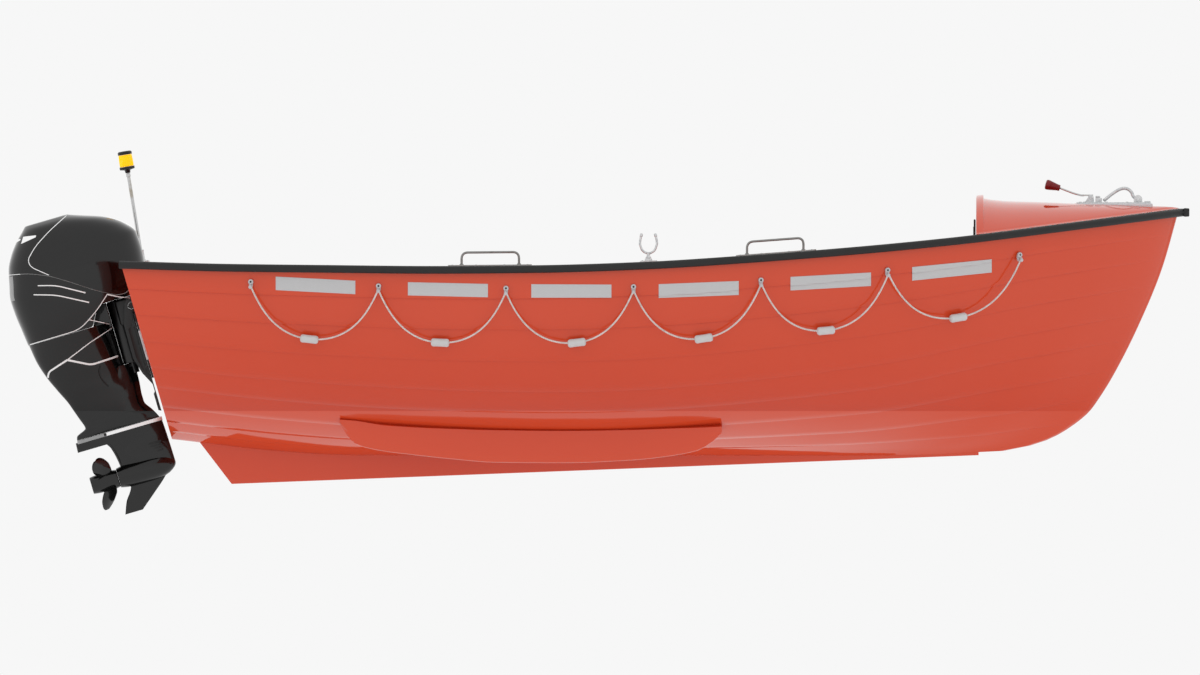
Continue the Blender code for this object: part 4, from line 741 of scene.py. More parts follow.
def prism(near, far, axis, bevel):
    """Two flat outlines joined by a wall, the rims of both rounded."""
    work = bmesh.new()
    near = [work.verts.new(p) for p in near]
    far = [work.verts.new(p) for p in far]
    work.faces.new(near)
    work.faces.new(far)
    for i in range(len(near)):
        j = (i + 1) % len(near)
        work.faces.new((near[i], near[j], far[j], far[i]))
    bmesh.ops.recalc_face_normals(work, faces=work.faces)
    if bevel:
        rim = [e for e in work.edges if abs(e.verts[0].co[axis] - e.verts[1].co[axis]) < 1e-7]
        bmesh.ops.bevel(work, geom=rim, offset=bevel, segments=3, profile=0.5, affect="EDGES")
    return work


def slab(outline, low, high, bevel=0.0):
    """Outline of x and z made solid between two values of y."""
    return prism([(x, low, z) for x, z in outline], [(x, high, z) for x, z in outline], 1, bevel)


def arc(centre, radius, start, end, count):
    """Points of two coordinates round a centre, angles in degrees."""
    angles = [math.radians(start + (end - start) * i / (count - 1)) for i in range(count)]
    return [(centre[0] + radius * math.cos(a), centre[1] + radius * math.sin(a)) for a in angles]


def as_mesh(work, name="shape"):
    """The shape as a mesh; the shape itself is given up."""
    mesh = bpy.data.meshes.new(name)
    work.to_mesh(mesh)
    work.free()
    return mesh


def take_in(work, mesh):
    """Adds a mesh to a shape; the mesh itself is given up."""
    work.from_mesh(mesh)
    bpy.data.meshes.remove(mesh)
    return work


def new_object(name, mesh):
    """A mesh as an object in the scene."""
    made = bpy.data.objects.new(name, mesh)
    bpy.context.scene.collection.objects.link(made)
    return made


def evaluated(holder):
    """Mesh of an object after its modifiers."""
    bpy.context.view_layer.update()
    graph = bpy.context.evaluated_depsgraph_get()
    return bpy.data.meshes.new_from_object(holder.evaluated_get(graph))


def mesh_with_uv(name, points, faces, flat):
    """A mesh whose face corners have flat coordinates."""
    mesh = bpy.data.meshes.new(name)
    mesh.from_pydata(points, [], faces)
    layer = mesh.uv_layers.new(name="UVMap")
    for target, value in zip(layer.data, flat):
        target.uv = value
    return mesh


def joined(*works):
    """Several shapes in one."""
    whole = bmesh.new()
    for work in works:
        take_in(whole, as_mesh(work))
    return whole


def with_slot(work, index):
    """The same shape with its faces in one material slot."""
    for face in work.faces:
        face.material_index = index
    return work


def mirrored(work):
    """The same shape on the other side of the centreline."""
    other = work.copy()
    bmesh.ops.scale(other, vec=(1, -1, 1), verts=other.verts)
    bmesh.ops.reverse_faces(other, faces=other.faces)
    return other


def piece(name, work, body, materials, slot, *replaces, smooth=35.0):
    """Turns a shape into a finished piece that rides on a body and stands for CAD nodes."""
    mesh = as_mesh(work, name)
    for material in materials if isinstance(materials, (list, tuple)) else [materials]:
        mesh.materials.append(material)
    mesh.shade_smooth()
    mesh.set_sharp_from_angle(angle=math.radians(smooth))
    made = new_object(name, mesh)
    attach(made, body)
    if replaces:
        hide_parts(*replaces)
    return made


def engine_piece(name, work, materials, *replaces, body="engine_steer", slot="engine_black",
                 smooth=35.0):
    """A finished piece from a shape in the engine's own frame."""
    work.transform(ENGINE_PLACE)
    return piece(name, work, body, materials, slot, *replaces, smooth=smooth)


def cut(work, tool, operation="DIFFERENCE"):
    """One shape taken from, or kept inside, another."""
    holders = []
    for shape in (work, tool):
        mesh = as_mesh(shape)
        for _ in range(2):
            mesh.materials.append(None)
        holders.append(new_object("shape", mesh))
    step = holders[0].modifiers.new("cut", "BOOLEAN")
    step.operation = operation
    step.solver = "EXACT"
    step.object = holders[1]
    found = take_in(bmesh.new(), evaluated(holders[0]))
    for holder in holders:
        bpy.data.meshes.remove(holder.data)
    return found


# Hull surface

def half_breadth(t):
    """Half breadth of the gunwale at a station."""
    if t <= MID_STATION:
        share = (MID_STATION - t) / MID_STATION
        return HALF_BREADTH - (HALF_BREADTH - TRANSOM_HALF_BREADTH) * share ** 2
    share = (t - MID_STATION) / (1 - MID_STATION)
    return max(HALF_BREADTH * (1 - share ** 2.6) ** 0.85, NOSE_HALF_WIDTH)


def hull_ends(height):
    """x of the transom and of the stem at a height."""
    aft = TRANSOM_TOP_X + (TRANSOM_TOP_HEIGHT - height) * TRANSOM_SLOPE
    return aft, blend_table(STEM, height)


def hull_x(t, height):
    """x of a station at a height."""
    aft, fore = hull_ends(height)
    return aft + (fore - aft) * t


def section_curve(t, samples=160):
    """Smooth section from the keel to the gunwale, as half breadth and height."""
    top = blend_table(SHEER, t)
    breadth = half_breadth(t)
    _, deadrise, low_handle, flare, high_handle = table_row(SECTIONS, t, 5)
    deadrise = math.radians(deadrise)
    low_handle = min(low_handle, 0.75 * breadth + 0.1)
    flare = math.radians(flare)
    p0 = Vector((min(KEEL_FLAT, breadth), blend_table(BOTTOM, t)))
    p1 = p0 + low_handle * Vector((math.cos(deadrise), math.sin(deadrise)))
    p3 = Vector((breadth, top))
    p2 = p3 - high_handle * Vector((math.sin(flare), math.cos(flare)))
    points = []
    for i in range(samples + 1):
        u = i / samples
        points.append(p0 * (1 - u) ** 3 + p1 * 3 * u * (1 - u) ** 2 + p2 * 3 * u * u * (1 - u)
                      + p3 * u ** 3)
    return points


def running_lengths(points):
    """Distance of each point along the line through them."""
    lengths = [0.0]
    for a, b in zip(points, points[1:]):
        lengths.append(lengths[-1] + (b - a).length)
    return lengths


def place_along(lengths, goal):
    """Index of the point before a distance along a line, and the share of the way to the next."""
    i = min(max(bisect.bisect_right(lengths, goal) - 1, 0), len(lengths) - 2)
    return i, (goal - lengths[i]) / (lengths[i + 1] - lengths[i])


def at_girth(points, rows):
    """Points at shares of the section's length, each moved outwards by its own distance."""
    lengths = running_lengths(points)
    found = []
    for share, proud in rows:
        i, u = place_along(lengths, share * lengths[-1])
        way = (points[i + 1] - points[i]).normalized()
        found.append(points[i].lerp(points[i + 1], u) + Vector((way.y, -way.x)) * proud)
    return found


STRAKE_STEPS = 5
# Share of the lap's depth at each small step round a strake's lower edge, and how far up it is
LAP_EDGE = ((0.0, 0.0), (0.55, 0.0), (0.86, 0.0007), (1.0, 0.0024))


def strake_rows(t):
    """Shares of the girth and how proud the skin is there, each strake lapped over the last."""
    lap = LAP * min(1.0, (1.0 - t) / 0.08)
    rows = []
    for low, high in zip(STRAKES, STRAKES[1:]):
        start = low
        if low > 0.0:
            for depth, rise in LAP_EDGE[1:]:
                start = low + rise
                rows.append((start, lap * depth))
        else:
            rows.append((low, 0.0))
        for i in range(1, STRAKE_STEPS + 1):
            u = i / STRAKE_STEPS
            proud = 0.0 if low == 0.0 else lap * (1 - u)
            rows.append((start + (high - start) * u, proud))
    return rows


def strake_profile(t):
    """Section with its lapped strakes, from the keel to the gunwale."""
    return at_girth(section_curve(t), strake_rows(t))


def station_y(t, height):
    """Half breadth of the outer skin at a station and a height."""
    profile = strake_profile(t)
    widest = 0.0
    for a, b in zip(profile, profile[1:]):
        if min(a.y, b.y) <= height <= max(a.y, b.y) and abs(b.y - a.y) > 1e-7:
            u = (height - a.y) / (b.y - a.y)
            widest = max(widest, a.x + (b.x - a.x) * u)
    return widest


def skin_y(x, height):
    """Half breadth of the outer skin at x and a height above the base."""
    aft, fore = hull_ends(height)
    return station_y(min(max((x - aft) / (fore - aft), 0.0), 1.0), height)


def ring_from(profile, t, squeeze=1.0):
    """Whole ring of a half section: starboard gunwale, keel, port gunwale."""
    port = [(hull_x(t, p.y), p.x * squeeze, up(p.y)) for p in profile]
    return [(x, -y, z) for x, y, z in reversed(port)] + port


def gunwale_point(t):
    """Top of the port gunwale at a station."""
    height = blend_table(SHEER, t)
    return Vector((hull_x(t, height), half_breadth(t), up(height)))


NOSE_ROUND = 0.022
LENGTH_AT_NOSE = 4.30
NOSE_TAPER = [1 - NOSE_ROUND * d / LENGTH_AT_NOSE for d in (1.0, 0.7, 0.45, 0.25, 0.11, 0.03, 0.0)]
STATIONS = spread((0.0, CAVITY_START, 0.05, 0.95, CAVITY_END, NOSE_TAPER[0]), 0.0098)
STATIONS += NOSE_TAPER[1:]
GUNWALE = [gunwale_point(t) for t in STATIONS]


def gunwale_at(x):
    """Half breadth and z of the gunwale's top at x."""
    for a, b in zip(GUNWALE, GUNWALE[1:]):
        if a.x <= x <= b.x:
            found = a.lerp(b, (x - a.x) / (b.x - a.x))
            return found.y, found.z
    return GUNWALE[-1].y, GUNWALE[-1].z


def inner_solid(inset, start=CAVITY_START, end=CAVITY_END):
    """Space inside the hull up to the underside of the gunwale flange."""
    rings = []
    for t in STATIONS:
        if not start <= t <= end:
            continue
        ceiling = blend_table(SHEER, t) - FLANGE_DEPTH - (inset - WALL)
        profile = []
        for p in at_girth(section_curve(t), [(i / 28, -inset) for i in range(29)]):
            profile.append(Vector((max(p.x, 0.004), min(p.y, ceiling))))
        rings.append(ring_from(profile, t))
    return loft(rings)


# Grab lines: twelve bights of laid rope, a float on each, and fourteen eyes

def smoothed(values, passes):
    """The same run of values with its kinks eased."""
    for _ in range(passes):
        values = ([values[0]] + [(a + 2 * b + c) / 4 for a, b, c in
                                 zip(values, values[1:], values[2:])] + [values[-1]])
    return values


def even_path(points, step):
    """The same line with its points an equal distance apart."""
    lengths = running_lengths(points)
    count = round(lengths[-1] / step)
    found = []
    j = 0
    for i in range(count + 1):
        goal = lengths[-1] * i / count
        while j < len(lengths) - 2 and lengths[j + 1] < goal:
            j += 1
        found.append(points[j].lerp(points[j + 1],
                                    (goal - lengths[j]) / (lengths[j + 1] - lengths[j])))
    return found


def drop_share(u):
    """Share of the sag at a share of the span."""
    return 1 - (math.cosh((2 * u - 1) / CATENARY) - 1) / (math.cosh(1 / CATENARY) - 1)


def bight(start, end):
    """Line of the rope from one eye to the next, hung as a catenary over the hull's side."""
    samples = 72
    heights = []
    xs = []
    for i in range(samples + 1):
        u = i / samples
        heights.append(start[2] + (end[2] - start[2]) * u - ROPE_SAG * drop_share(u))
        xs.append(start[0] + ROPE_START + (end[0] - start[0] - 2 * ROPE_START) * u)
    outs = []
    for i, (x, height) in enumerate(zip(xs, heights)):
        u = i / samples
        near = skin_y(x, height) + ROPE_CLEAR
        plumb = max(start[1] + (end[1] - start[1]) * u, near)
        outs.append(plumb + (near - plumb) * ROPE_LEAN * drop_share(u))
    outs = smoothed(outs, 10)
    return even_path([Vector((x, y, up(h))) for x, y, h in zip(xs, outs, heights)], ROPE_STEP)


ROPE_SIDES = 18


def rope_mesh(name, path):
    """Three strands laid right-handed round the path, with a UV map in metres."""
    radius = ROPE_DIAMETER / 2
    strand = radius * 0.464
    offset = radius * 0.536
    points = []
    faces = []
    flat = []
    for (point, side, other), run in zip(path_frames(path), running_lengths(path)):
        for angle in turn_angles(ROPE_SIDES):
            near = (angle + math.pi / 3) % (2 * math.pi / 3) - math.pi / 3
            reach = offset * math.cos(near) + math.sqrt(
                max(0.0, strand ** 2 - (offset * math.sin(near)) ** 2))
            reach = max(reach, radius * 0.73)
            turn = angle + 2 * math.pi * run / ROPE_LAY
            points.append(point + side * reach * math.cos(turn) + other * reach * math.sin(turn))
    around = 2 * math.pi * radius
    for i in range(len(path) - 1):
        for k in range(ROPE_SIDES):
            j = (k + 1) % ROPE_SIDES
            row = i * ROPE_SIDES
            faces.append((row + k, row + j, row + ROPE_SIDES + j, row + ROPE_SIDES + k))
            u0, u1 = around * k / ROPE_SIDES, around * (k + 1) / ROPE_SIDES
            v0, v1 = i * ROPE_STEP, (i + 1) * ROPE_STEP
            flat += [(u0, v0), (u1, v0), (u1, v1), (u0, v1)]
    last = (len(path) - 1) * ROPE_SIDES
    faces.append(tuple(reversed(range(ROPE_SIDES))))
    faces.append(tuple(range(last, last + ROPE_SIDES)))
    flat += [(0.0, 0.0)] * (2 * ROPE_SIDES)
    mesh = mesh_with_uv(name, points, faces, flat)
    mesh.materials.append(ROPE)
    mesh.shade_smooth()
    return mesh


def pill(radius, length, ease):
    """Rows of a cylinder with well rounded ends, centred on the origin."""
    rows = [(0.0005, -length / 2)]
    rows += [(radius - ease + ease * math.sin(a), -length / 2 + ease - ease * math.cos(a))
             for a in [math.pi / 2 * i / 8 for i in range(1, 9)]]
    rows += [(radius - 0.0006, -length / 6), (radius - 0.0006, length / 6)]
    return rows + [(r, -z) for r, z in reversed(rows[:9])]


# Radius and distance out from the plate, round the boss; then round a black disc in the bottom of
# its bore, painted shade in the hole
EYE_BOSS = ((0.0108, 0.001), (0.0108, 0.0070), (0.0098, 0.0096), (0.0072, 0.0106),
            (0.0048, 0.0100), (0.0040, 0.0080), (0.0040, 0.0040), (0.0008, 0.0032))
EYE_BORE_SHADE_DISC = ((0.0006, 0.0036), (0.0039, 0.0036), (0.0039, 0.0044), (0.0006, 0.0046))
# Depth of each ring of the eye's oval plate, and how much smaller it is
EYE_PLATE = ((-0.006, 0.0), (0.0016, 0.0), (0.0026, 0.0012), (0.0029, 0.003))


def eye_shape():
    """Oval plate, boss with a black disc in its bore as painted shade, the saddle below it and the
    rope's end in it.
    """
    plate = [[((0.0082 - shrink) * math.cos(a), depth, -0.010 + (0.0170 - shrink) * math.sin(a))
              for a in turn_angles(32)] for depth, shrink in EYE_PLATE]
    saddle = rounded_path([(-0.0005, y, z) for y, z in (
        (0.001, -0.0120), (EYE_REACH + 0.0055, -0.0130), (EYE_REACH + 0.0055, -0.0270),
        (0.001, -0.0230))], 0.006)
    fitting = joined(loft(plate), turned(EYE_BOSS, (0, 0, 0), (0, 1, 0), 28),
                     bar(saddle, 0.0031, 12),
                     with_slot(turned(EYE_BORE_SHADE_DISC, (0, 0, 0), (0, 1, 0), 20), 1))
    fitting.transform(Matrix.Translation((0, 0, EYE_RISE)))
    rope_end = turned(pill(0.0078, 0.0160, 0.0072), (0, 0, 0), (1, 0, 0), 24)
    rope_end.transform(Matrix.Translation((0, EYE_REACH, -EYE_DROP)))
    return joined(fitting, rope_end)


def hang_rope(name, path, node):
    """Rope along a path between two eyes, as a piece on the hull in place of the node. Returns its
    length.
    """
    rope = new_object(name, rope_mesh("rope", path))
    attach(rope, "hull")
    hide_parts(node)
    length = running_lengths(path)[-1]
    return round(length, 4)


for side_name, sign in SIDES:
    node = "grab_line_" + side_name
    hang = []
    eyes = []
    for x, height in EYES:
        skin = max(skin_y(x + d, height + e) for d in (-0.011, 0.011) for e in (-0.018, 0.012))
        aim = Vector((skin_y(x - 0.03, height) - skin_y(x + 0.03, height), 0.06, 0.0)).normalized()
        foot = Vector((x, skin, up(height)))
        shape = eye_shape()
        shape.transform(Matrix.Translation(foot) @ aim.to_track_quat("Y", "Z").to_matrix().to_4x4())
        eyes.append(shape if sign > 0 else mirrored(shape))
        end = foot + aim * EYE_REACH
        hang.append((end.x, end.y, height - EYE_DROP))
    piece("grab_line_eyes_" + side_name, joined(*eyes), "hull", [NYLON_GREY, ABS_BLACK],
          "rope_white", node, smooth=40.0)
    for i, (start, end) in enumerate(zip(hang, hang[1:])):
        path = [Vector((p.x, p.y * sign, p.z)) for p in bight(start, end)]
        middle = len(path) // 2 + FLOAT_STEPS[i]
        way = (path[middle + 4] - path[middle - 4]).normalized()
        buoy = turned(pill(*FLOAT), (0, 0, 0), way, 40)
        buoy.transform(Matrix.Translation(path[middle]))
        number = side_name + "_" + str(i + 1)
        float_piece = piece("grab_float_" + number, buoy, "hull", FOAM, "rope_white", node)
        hang_rope("grab_rope_" + number, path, node)


# Hull: outer skin, keel, bilge fins, inner skin and the gunwale flange, in one moulding

HULL_NODES = ["transom", "hull_bottom", "stem", "keel"]
HULL_NODES += [name + "_" + end for end in ("port", "stbd") for name in
               ("side_aft", "side_mid", "side_fore", "bow_side", "bilge_fin")]


def nose_share(t):
    """How much of the half breadth is left where the stem is rounded off."""
    distance = (1 - t) * LENGTH_AT_NOSE
    if distance >= NOSE_ROUND:
        return 1.0
    return max(math.sqrt(1 - (1 - distance / NOSE_ROUND) ** 2), 0.03)


def flange_opening():
    """Space inside the gunwale flange, open to the sky."""
    rings = []
    for t in STATIONS:
        if not CAVITY_START + TRANSOM_FLANGE_SHARE <= t <= 0.95:
            continue
        x, breadth, z = gunwale_point(t)
        inner = breadth - FLANGE_WIDTH
        low = z - FLANGE_DEPTH - 0.012
        rings.append([(x, -inner, z + 0.05), (x, -inner, low), (x, inner, low),
                      (x, inner, z + 0.05)])
    return loft(rings)


def hull_bottom_at(x):
    """Height of the hull's bottom beside the keel at x."""
    height = blend_table(BOTTOM, 0.5)
    for _ in range(8):
        aft, fore = hull_ends(height)
        height = blend_table(BOTTOM, (x - aft) / (fore - aft))
    return height


def keel_shape():
    """Keel with a bolted-on look: flat sides, its lower edges rounded by 4 mm."""
    rows = []
    for start, end in zip(KEEL, KEEL[1:]):
        rows += [[a + (b - a) * i / 8 for a, b in zip(start, end)] for i in range(8)]
    rows.append(KEEL[-1])
    rings = []
    for top_x, bottom_x, height in rows:
        roof = up(hull_bottom_at(top_x)) + 0.004
        low = up(height)
        half = [(0.0235, roof, 0.0), (0.0205, low + 0.004, 0.97), (0.0193, low + 0.0012, 0.99),
                (0.0165, low, 1.0)]
        port = [(top_x + (bottom_x - top_x) * u, y, z) for y, z, u in half]
        rings.append(port + [(x, -y, z) for x, y, z in reversed(port)])
    return loft(rings)


def fin_shape(sign):
    """Bilge fin with a hollow outer face and a rounded lower edge."""
    xs = spread([row[0] for row in FIN], 0.035)
    rings = []
    for x in xs:
        low = up(blend_table(FIN, x, 1))
        high = up(blend_table(FIN, x, 2))
        ring = [(0.460, high), (0.4572, high + (low - high) * 0.30),
                (0.4515, high + (low - high) * 0.72), (0.4472, low + 0.008), (0.4440, low + 0.002),
                (0.4390, low), (0.3910, low), (0.3860, low + 0.002), (0.3828, low + 0.008),
                (0.3750, (low + high) / 2), (0.370, high + 0.030)]
        rings.append([(x, sign * y, z) for y, z in ring])
    return loft(rings)


def hull_shape():
    """Skin with keel, fins and strakes, hollowed, its gunwale left as a flange."""
    outer = loft([ring_from(strake_profile(t), t, nose_share(t)) for t in STATIONS])
    outer = cut(outer, keel_shape(), "UNION")
    for sign in (1, -1):
        outer = cut(outer, fin_shape(sign), "UNION")
    outer = cut(outer, with_slot(inner_solid(WALL), 1))
    outer = cut(outer, with_slot(flange_opening(), 1))
    well = block((-2.4, -WELL_HALF_WIDTH, up(WELL_BOTTOM_HEIGHT)), (-1.98, WELL_HALF_WIDTH, 1.0),
                 0.020, 5)
    return cut(outer, well)


piece("hull_moulding", hull_shape(), "hull", [GELCOAT, FLOWCOAT], "hull_red", *HULL_NODES,
      smooth=32.0)


# Rub rail: hollow D section in rubber, with a lip on its top edge and a cap at the bow

def rail_frames():
    """Gunwale points all the way round the boat, with outward mitres in plan."""
    whole = list(GUNWALE[:-7]) + [GUNWALE[-1]]
    whole = whole + [Vector((p.x, -p.y, p.z)) for p in reversed(whole)]
    frames = []
    steps = [(b - a).xy.normalized() for a, b in zip(whole, whole[1:])]
    for i, point in enumerate(whole):
        ways = steps[max(i - 1, 0):i + 1]
        mitre = sum(ways, Vector((0.0, 0.0))).normalized()
        square = Vector((-mitre.y, mitre.x))
        edge = Vector((-ways[0].y, ways[0].x))
        frames.append((point, square / max(0.5, square.dot(edge))))
    return frames


# Distance out from the gunwale and below its top, round the rail's section
RAIL_SECTION = ((0.0004, 0.0), (0.0004, 0.0320), (0.0160, 0.0320), (0.0200, 0.0314),
                (0.0240, 0.0292), (0.0272, 0.0252), (0.0291, 0.0205), (0.0297, 0.0160),
                (0.0291, 0.0113), (0.0274, 0.0072), (0.0246, 0.0040), (0.0212, 0.0018),
                (0.0200, 0.0011), (0.0188, 0.0011), (0.0176, 0.0004), (0.0150, 0.0))
rail_rings = [[(p.x + n.x * d, p.y + n.y * d, p.z - drop) for d, drop in RAIL_SECTION]
              for p, n in rail_frames()]
nose = GUNWALE[-1]
RAIL_END_X = TRANSOM_TOP_X - 0.0045 + 4.40
bow_cap = block((RAIL_END_X - 0.026, -0.040, nose.z - RAIL_DEPTH - 0.0012),
                (RAIL_END_X, 0.040, nose.z + 0.0014), 0.0050, 4)
bow_strap = block((RAIL_END_X - 0.018, -0.0405, nose.z - RAIL_DEPTH - 0.0018),
                  (RAIL_END_X - 0.013, 0.0405, nose.z + 0.0020), 0.0016, 2)
piece("rub_rail_rubber", joined(loft(rail_rings), bow_cap, bow_strap), "hull", RUBBER,
      "rubber_black", "rub_rail", smooth=40.0)


# Retro-reflective strips along the topsides

def photo_x(px):
    """x of a pixel column of the photograph."""
    return (px - PHOTO_MIDSHIPS) * METRES_PER_PIXEL


def photo_height(py):
    """Height of a pixel row of the photograph."""
    return (PHOTO_WATERLINE - py) * METRES_PER_PIXEL + DRAUGHT


# Aft end of each strip: pixel x, top and bottom; then its fore end
STRIPS = (
    (275.7, 276.6, 290.1, 355.3, 280.7, 294.2), (407.9, 282.2, 295.4, 487.9, 283.9, 297.3),
    (531.3, 284.2, 297.7, 611.4, 284.6, 297.7), (658.7, 284.2, 298.0, 738.7, 281.0, 295.0),
    (790.5, 276.9, 290.5, 871.0, 272.5, 286.0), (912.2, 267.1, 280.7, 991.7, 259.3, 272.5),
)
STRIP_LIFT = 0.0011


def strip_meshes(sign):
    """Points, faces and flat coordinates of the strips of one side."""
    points = []
    faces = []
    flat = []
    for row in STRIPS:
        along, down = 30, 14
        grid = []
        for i in range(along + 1):
            u = i / along
            x = photo_x(row[0] + (row[3] - row[0]) * u)
            top = photo_height(row[1] + (row[4] - row[1]) * u)
            low = photo_height(row[2] + (row[5] - row[2]) * u)
            for j in range(down + 1):
                height = top + (low - top) * j / down
                skin = max(skin_y(x, height + d) for d in (-0.006, -0.003, 0.0, 0.003, 0.006))
                edge = 0.0004 if i in (0, along) or j in (0, down) else 0.0
                grid.append((x, skin + STRIP_LIFT - edge, up(height)))
        back = [(x, y - 0.0024, z) for x, y, z in grid]
        start = len(points)
        points += [(x, sign * y, z) for x, y, z in grid + back]
        wide = down + 1
        half = len(grid)

        rims = [(i * wide + j, i * wide + j + wide, j > 0) for i in range(along)
                for j in (0, down)]
        rims += [(i * wide + j, i * wide + j + 1, i == 0) for i in (0, along) for j in range(down)]
        quads = []
        for k in [i * wide + j for i in range(along) for j in range(down)]:
            quads.append((k, k + 1, k + wide + 1, k + wide))
            quads.append((half + k, half + k + wide, half + k + wide + 1, half + k + 1))
        for k, other, flip in rims:
            rim = (k, other, half + other, half + k)
            quads.append(rim[::-1] if flip else rim)
        for quad in quads:
            order = quad if sign > 0 else quad[::-1]
            faces.append(tuple(start + k for k in order))
            flat += [((grid + back)[k][0], (grid + back)[k][2]) for k in order]
    return points, faces, flat


for side_name, sign in SIDES:
    work = take_in(bmesh.new(), mesh_with_uv("strips", *strip_meshes(sign)))
    bmesh.ops.recalc_face_normals(work, faces=work.faces)
    piece("reflective_strips_" + side_name, work, "hull", TAPE, "stainless", smooth=40.0)


# Foredeck with its coaming lip and the pad under the hook

def deck_dome(t, crown, first=1.0):
    """Port half of the deck's top at a station, from a share of its breadth to the middle."""
    x, breadth, z = gunwale_point(t)
    outer = max(breadth - DECK_INSET, 0.004)
    port = []
    for i in range(23):
        share = first * math.sin(math.pi / 2 * (1 - i / 22)) ** 0.9 if i < 22 else 0.0
        port.append((x, outer * share, z + DECK_EDGE + crown * (1 - share ** 2.4)))
    return x, z, outer, port


def deck_ring(half):
    """Whole ring from its port half."""
    return [(x, -y, z) for x, y, z in half[:-1]] + list(reversed(half))


def deck_section(t, crown):
    """Ring of the deck: its dome, and a hollow curve out over the rail's top."""
    x, z, outer, _ = deck_dome(t, crown)
    first = 1 - min(0.022, outer / 2) / outer
    port = deck_dome(t, crown, first)[3]
    rim = outer + DECK_INSET + 0.008
    foot = z + 0.0008
    steps = 7
    hollow = [(x, rim + (outer * first - rim) * i / steps,
               foot + (port[0][2] - foot) * (i / steps) ** 2) for i in range(steps)]
    return deck_ring([(x, outer, z + 0.0003)] + hollow + port)


def deck_shape():
    """Crowned deck with its lip, hollow below, and the pad for the hook."""
    lip = DECK_LIP_RISE
    rows = [(0.8152, lip - 0.0035), (0.8154, lip - 0.0012), (0.8159, lip), (0.8210, lip),
            (0.8215, lip - 0.0008), (0.8219, lip - 0.0030), (0.8221, lip - 0.0140),
            (0.8227, lip - 0.0165)]
    rows += [(t, blend_table(DECK_CROWN, t)) for t in spread((0.828, 0.9995), 0.006)]
    deck = loft([deck_section(t, crown) for t, crown in rows])
    rings = []
    for t in [0.8152] + spread((0.8221, 0.965), 0.006):
        x, z, outer, port = deck_dome(t, blend_table(DECK_CROWN, max(t, DECK_CROWN[0][0])))
        inner = max(outer + DECK_INSET - FLANGE_WIDTH, 0.02)
        under = [(x, y * inner / outer, level - DECK_SKIN) for _, y, level in port]
        rings.append(deck_ring([(x, inner, z - 0.010)] + under))
    rings.insert(0, [(x - 0.05, y, z) for x, y, z in rings[0]])
    deck = cut(deck, with_slot(loft(rings), 1))
    pad = block((1.722, -0.062, up(1.122)), (2.046, 0.062, up(1.1535)), 0.006, 4)
    return cut(deck, with_slot(pad, 2), "UNION")


piece("foredeck_moulding", deck_shape(), "hull", [GELCOAT, FLOWCOAT, PAD_NYLON], "hull_red",
      "foredeck", smooth=40.0)


# Inside: sole, benches with rounded edges, thwarts

def top_slot(work, level, index):
    """Another material for the faces that look up from a level."""
    for face in work.faces:
        if face.normal.z > 0.95 and face.calc_center_median().z > level - 0.002:
            face.material_index = index
    return work


sole = cut(block((SOLE_AFT_X, -1.0, up(SOLE_HEIGHT - 0.020)), (BULKHEAD_X - 0.0003, 1.0,
                                                              up(SOLE_HEIGHT)), 0.001, 1),
           inner_solid(WALL + 0.013), "INTERSECT")
sole.normal_update()
piece("cockpit_sole_moulding", top_slot(sole, up(SOLE_HEIGHT), 1), "hull", [FLOWCOAT, GRIP_SOLE],
      "interior_orange", "cockpit_sole")
for side_name, sign in SIDES:
    edges = sorted((sign * BENCH_INNER_Y, sign * 1.0))
    bench = cut(block((BENCH_AFT_X, edges[0], up(SOLE_HEIGHT) + 0.0003),
                      (BULKHEAD_X - 0.0003, edges[1], up(BENCH_HEIGHT)), 0.016, 5),
                inner_solid(WALL + 0.013), "INTERSECT")
    bench.normal_update()
    piece("side_bench_moulding_" + side_name, top_slot(bench, up(BENCH_HEIGHT), 1), "hull",
          [FLOWCOAT, GRIP_SOLE], "interior_orange", "side_bench_" + side_name, smooth=40.0)
for name, aft, fore in THWARTS:
    low = up(BENCH_HEIGHT) + 0.0003
    thwart = block((aft, -0.700, low), (fore, 0.700, low + 0.030), 0.009, 5)
    pad = block((aft + 0.030, -0.660, low + 0.020), (fore - 0.030, 0.660, low + 0.0312), 0.001, 2)
    shape = joined(thwart, with_slot(pad, 1))
    piece(name + "_moulding", shape, "hull", [GELCOAT_WHITE, GRIP_SEAT], "thwart_white", name,
          smooth=40.0)


# Locker hatch: plate with a raised panel, two turn-button catches and its hinge leaves

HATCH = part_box("locker_hatch")


def hatch_shape():
    """Plate, raised panel and two turn-button catches."""
    low, high = HATCH
    panel = block((low.x + 0.002, low.y, low.z), (high.x, high.y, high.z), 0.0035, 4)
    raised = block((low.x, low.y + 0.030, low.z + 0.030), (low.x + 0.006, high.y - 0.030,
                                                          high.z - 0.030), 0.0025, 3)
    parts = [panel, raised]
    for z in (low.z + 0.075, high.z - 0.075):
        parts.append(turned(((0.0005, 0.0), (0.017, 0.0), (0.017, 0.0016), (0.0150, 0.0030),
                             (0.0005, 0.0034)), (low.x + 0.003, low.y + 0.028, z), (-1, 0, 0), 32))
        parts.append(block((low.x - 0.0052, low.y + 0.014, z - 0.0032),
                           (low.x + 0.001, low.y + 0.042, z + 0.0032), 0.0015, 3))
    return joined(*parts)


piece("locker_hatch_moulding", hatch_shape(), "hatch", ABS_BLACK, "hatch_black", "locker_hatch")
hinge_parts = []
for z in (HATCH[0].z + 0.070, HATCH[1].z - 0.070):
    x = HATCH[1].x
    hinge_parts.append(block((x - 0.0022, HATCH[1].y + 0.001, z - 0.022),
                             (x - 0.0002, HATCH[1].y + 0.030, z + 0.022), 0.0008, 2))
    hinge_parts.append(bar([(x - 0.005, HATCH[1].y + 0.0035, z - 0.022),
                            (x - 0.005, HATCH[1].y + 0.0035, z),
                            (x - 0.005, HATCH[1].y + 0.0035, z + 0.022)], 0.0032, 16))
piece("hatch_hinges", joined(*hinge_parts), "hull", STEEL, "stainless")


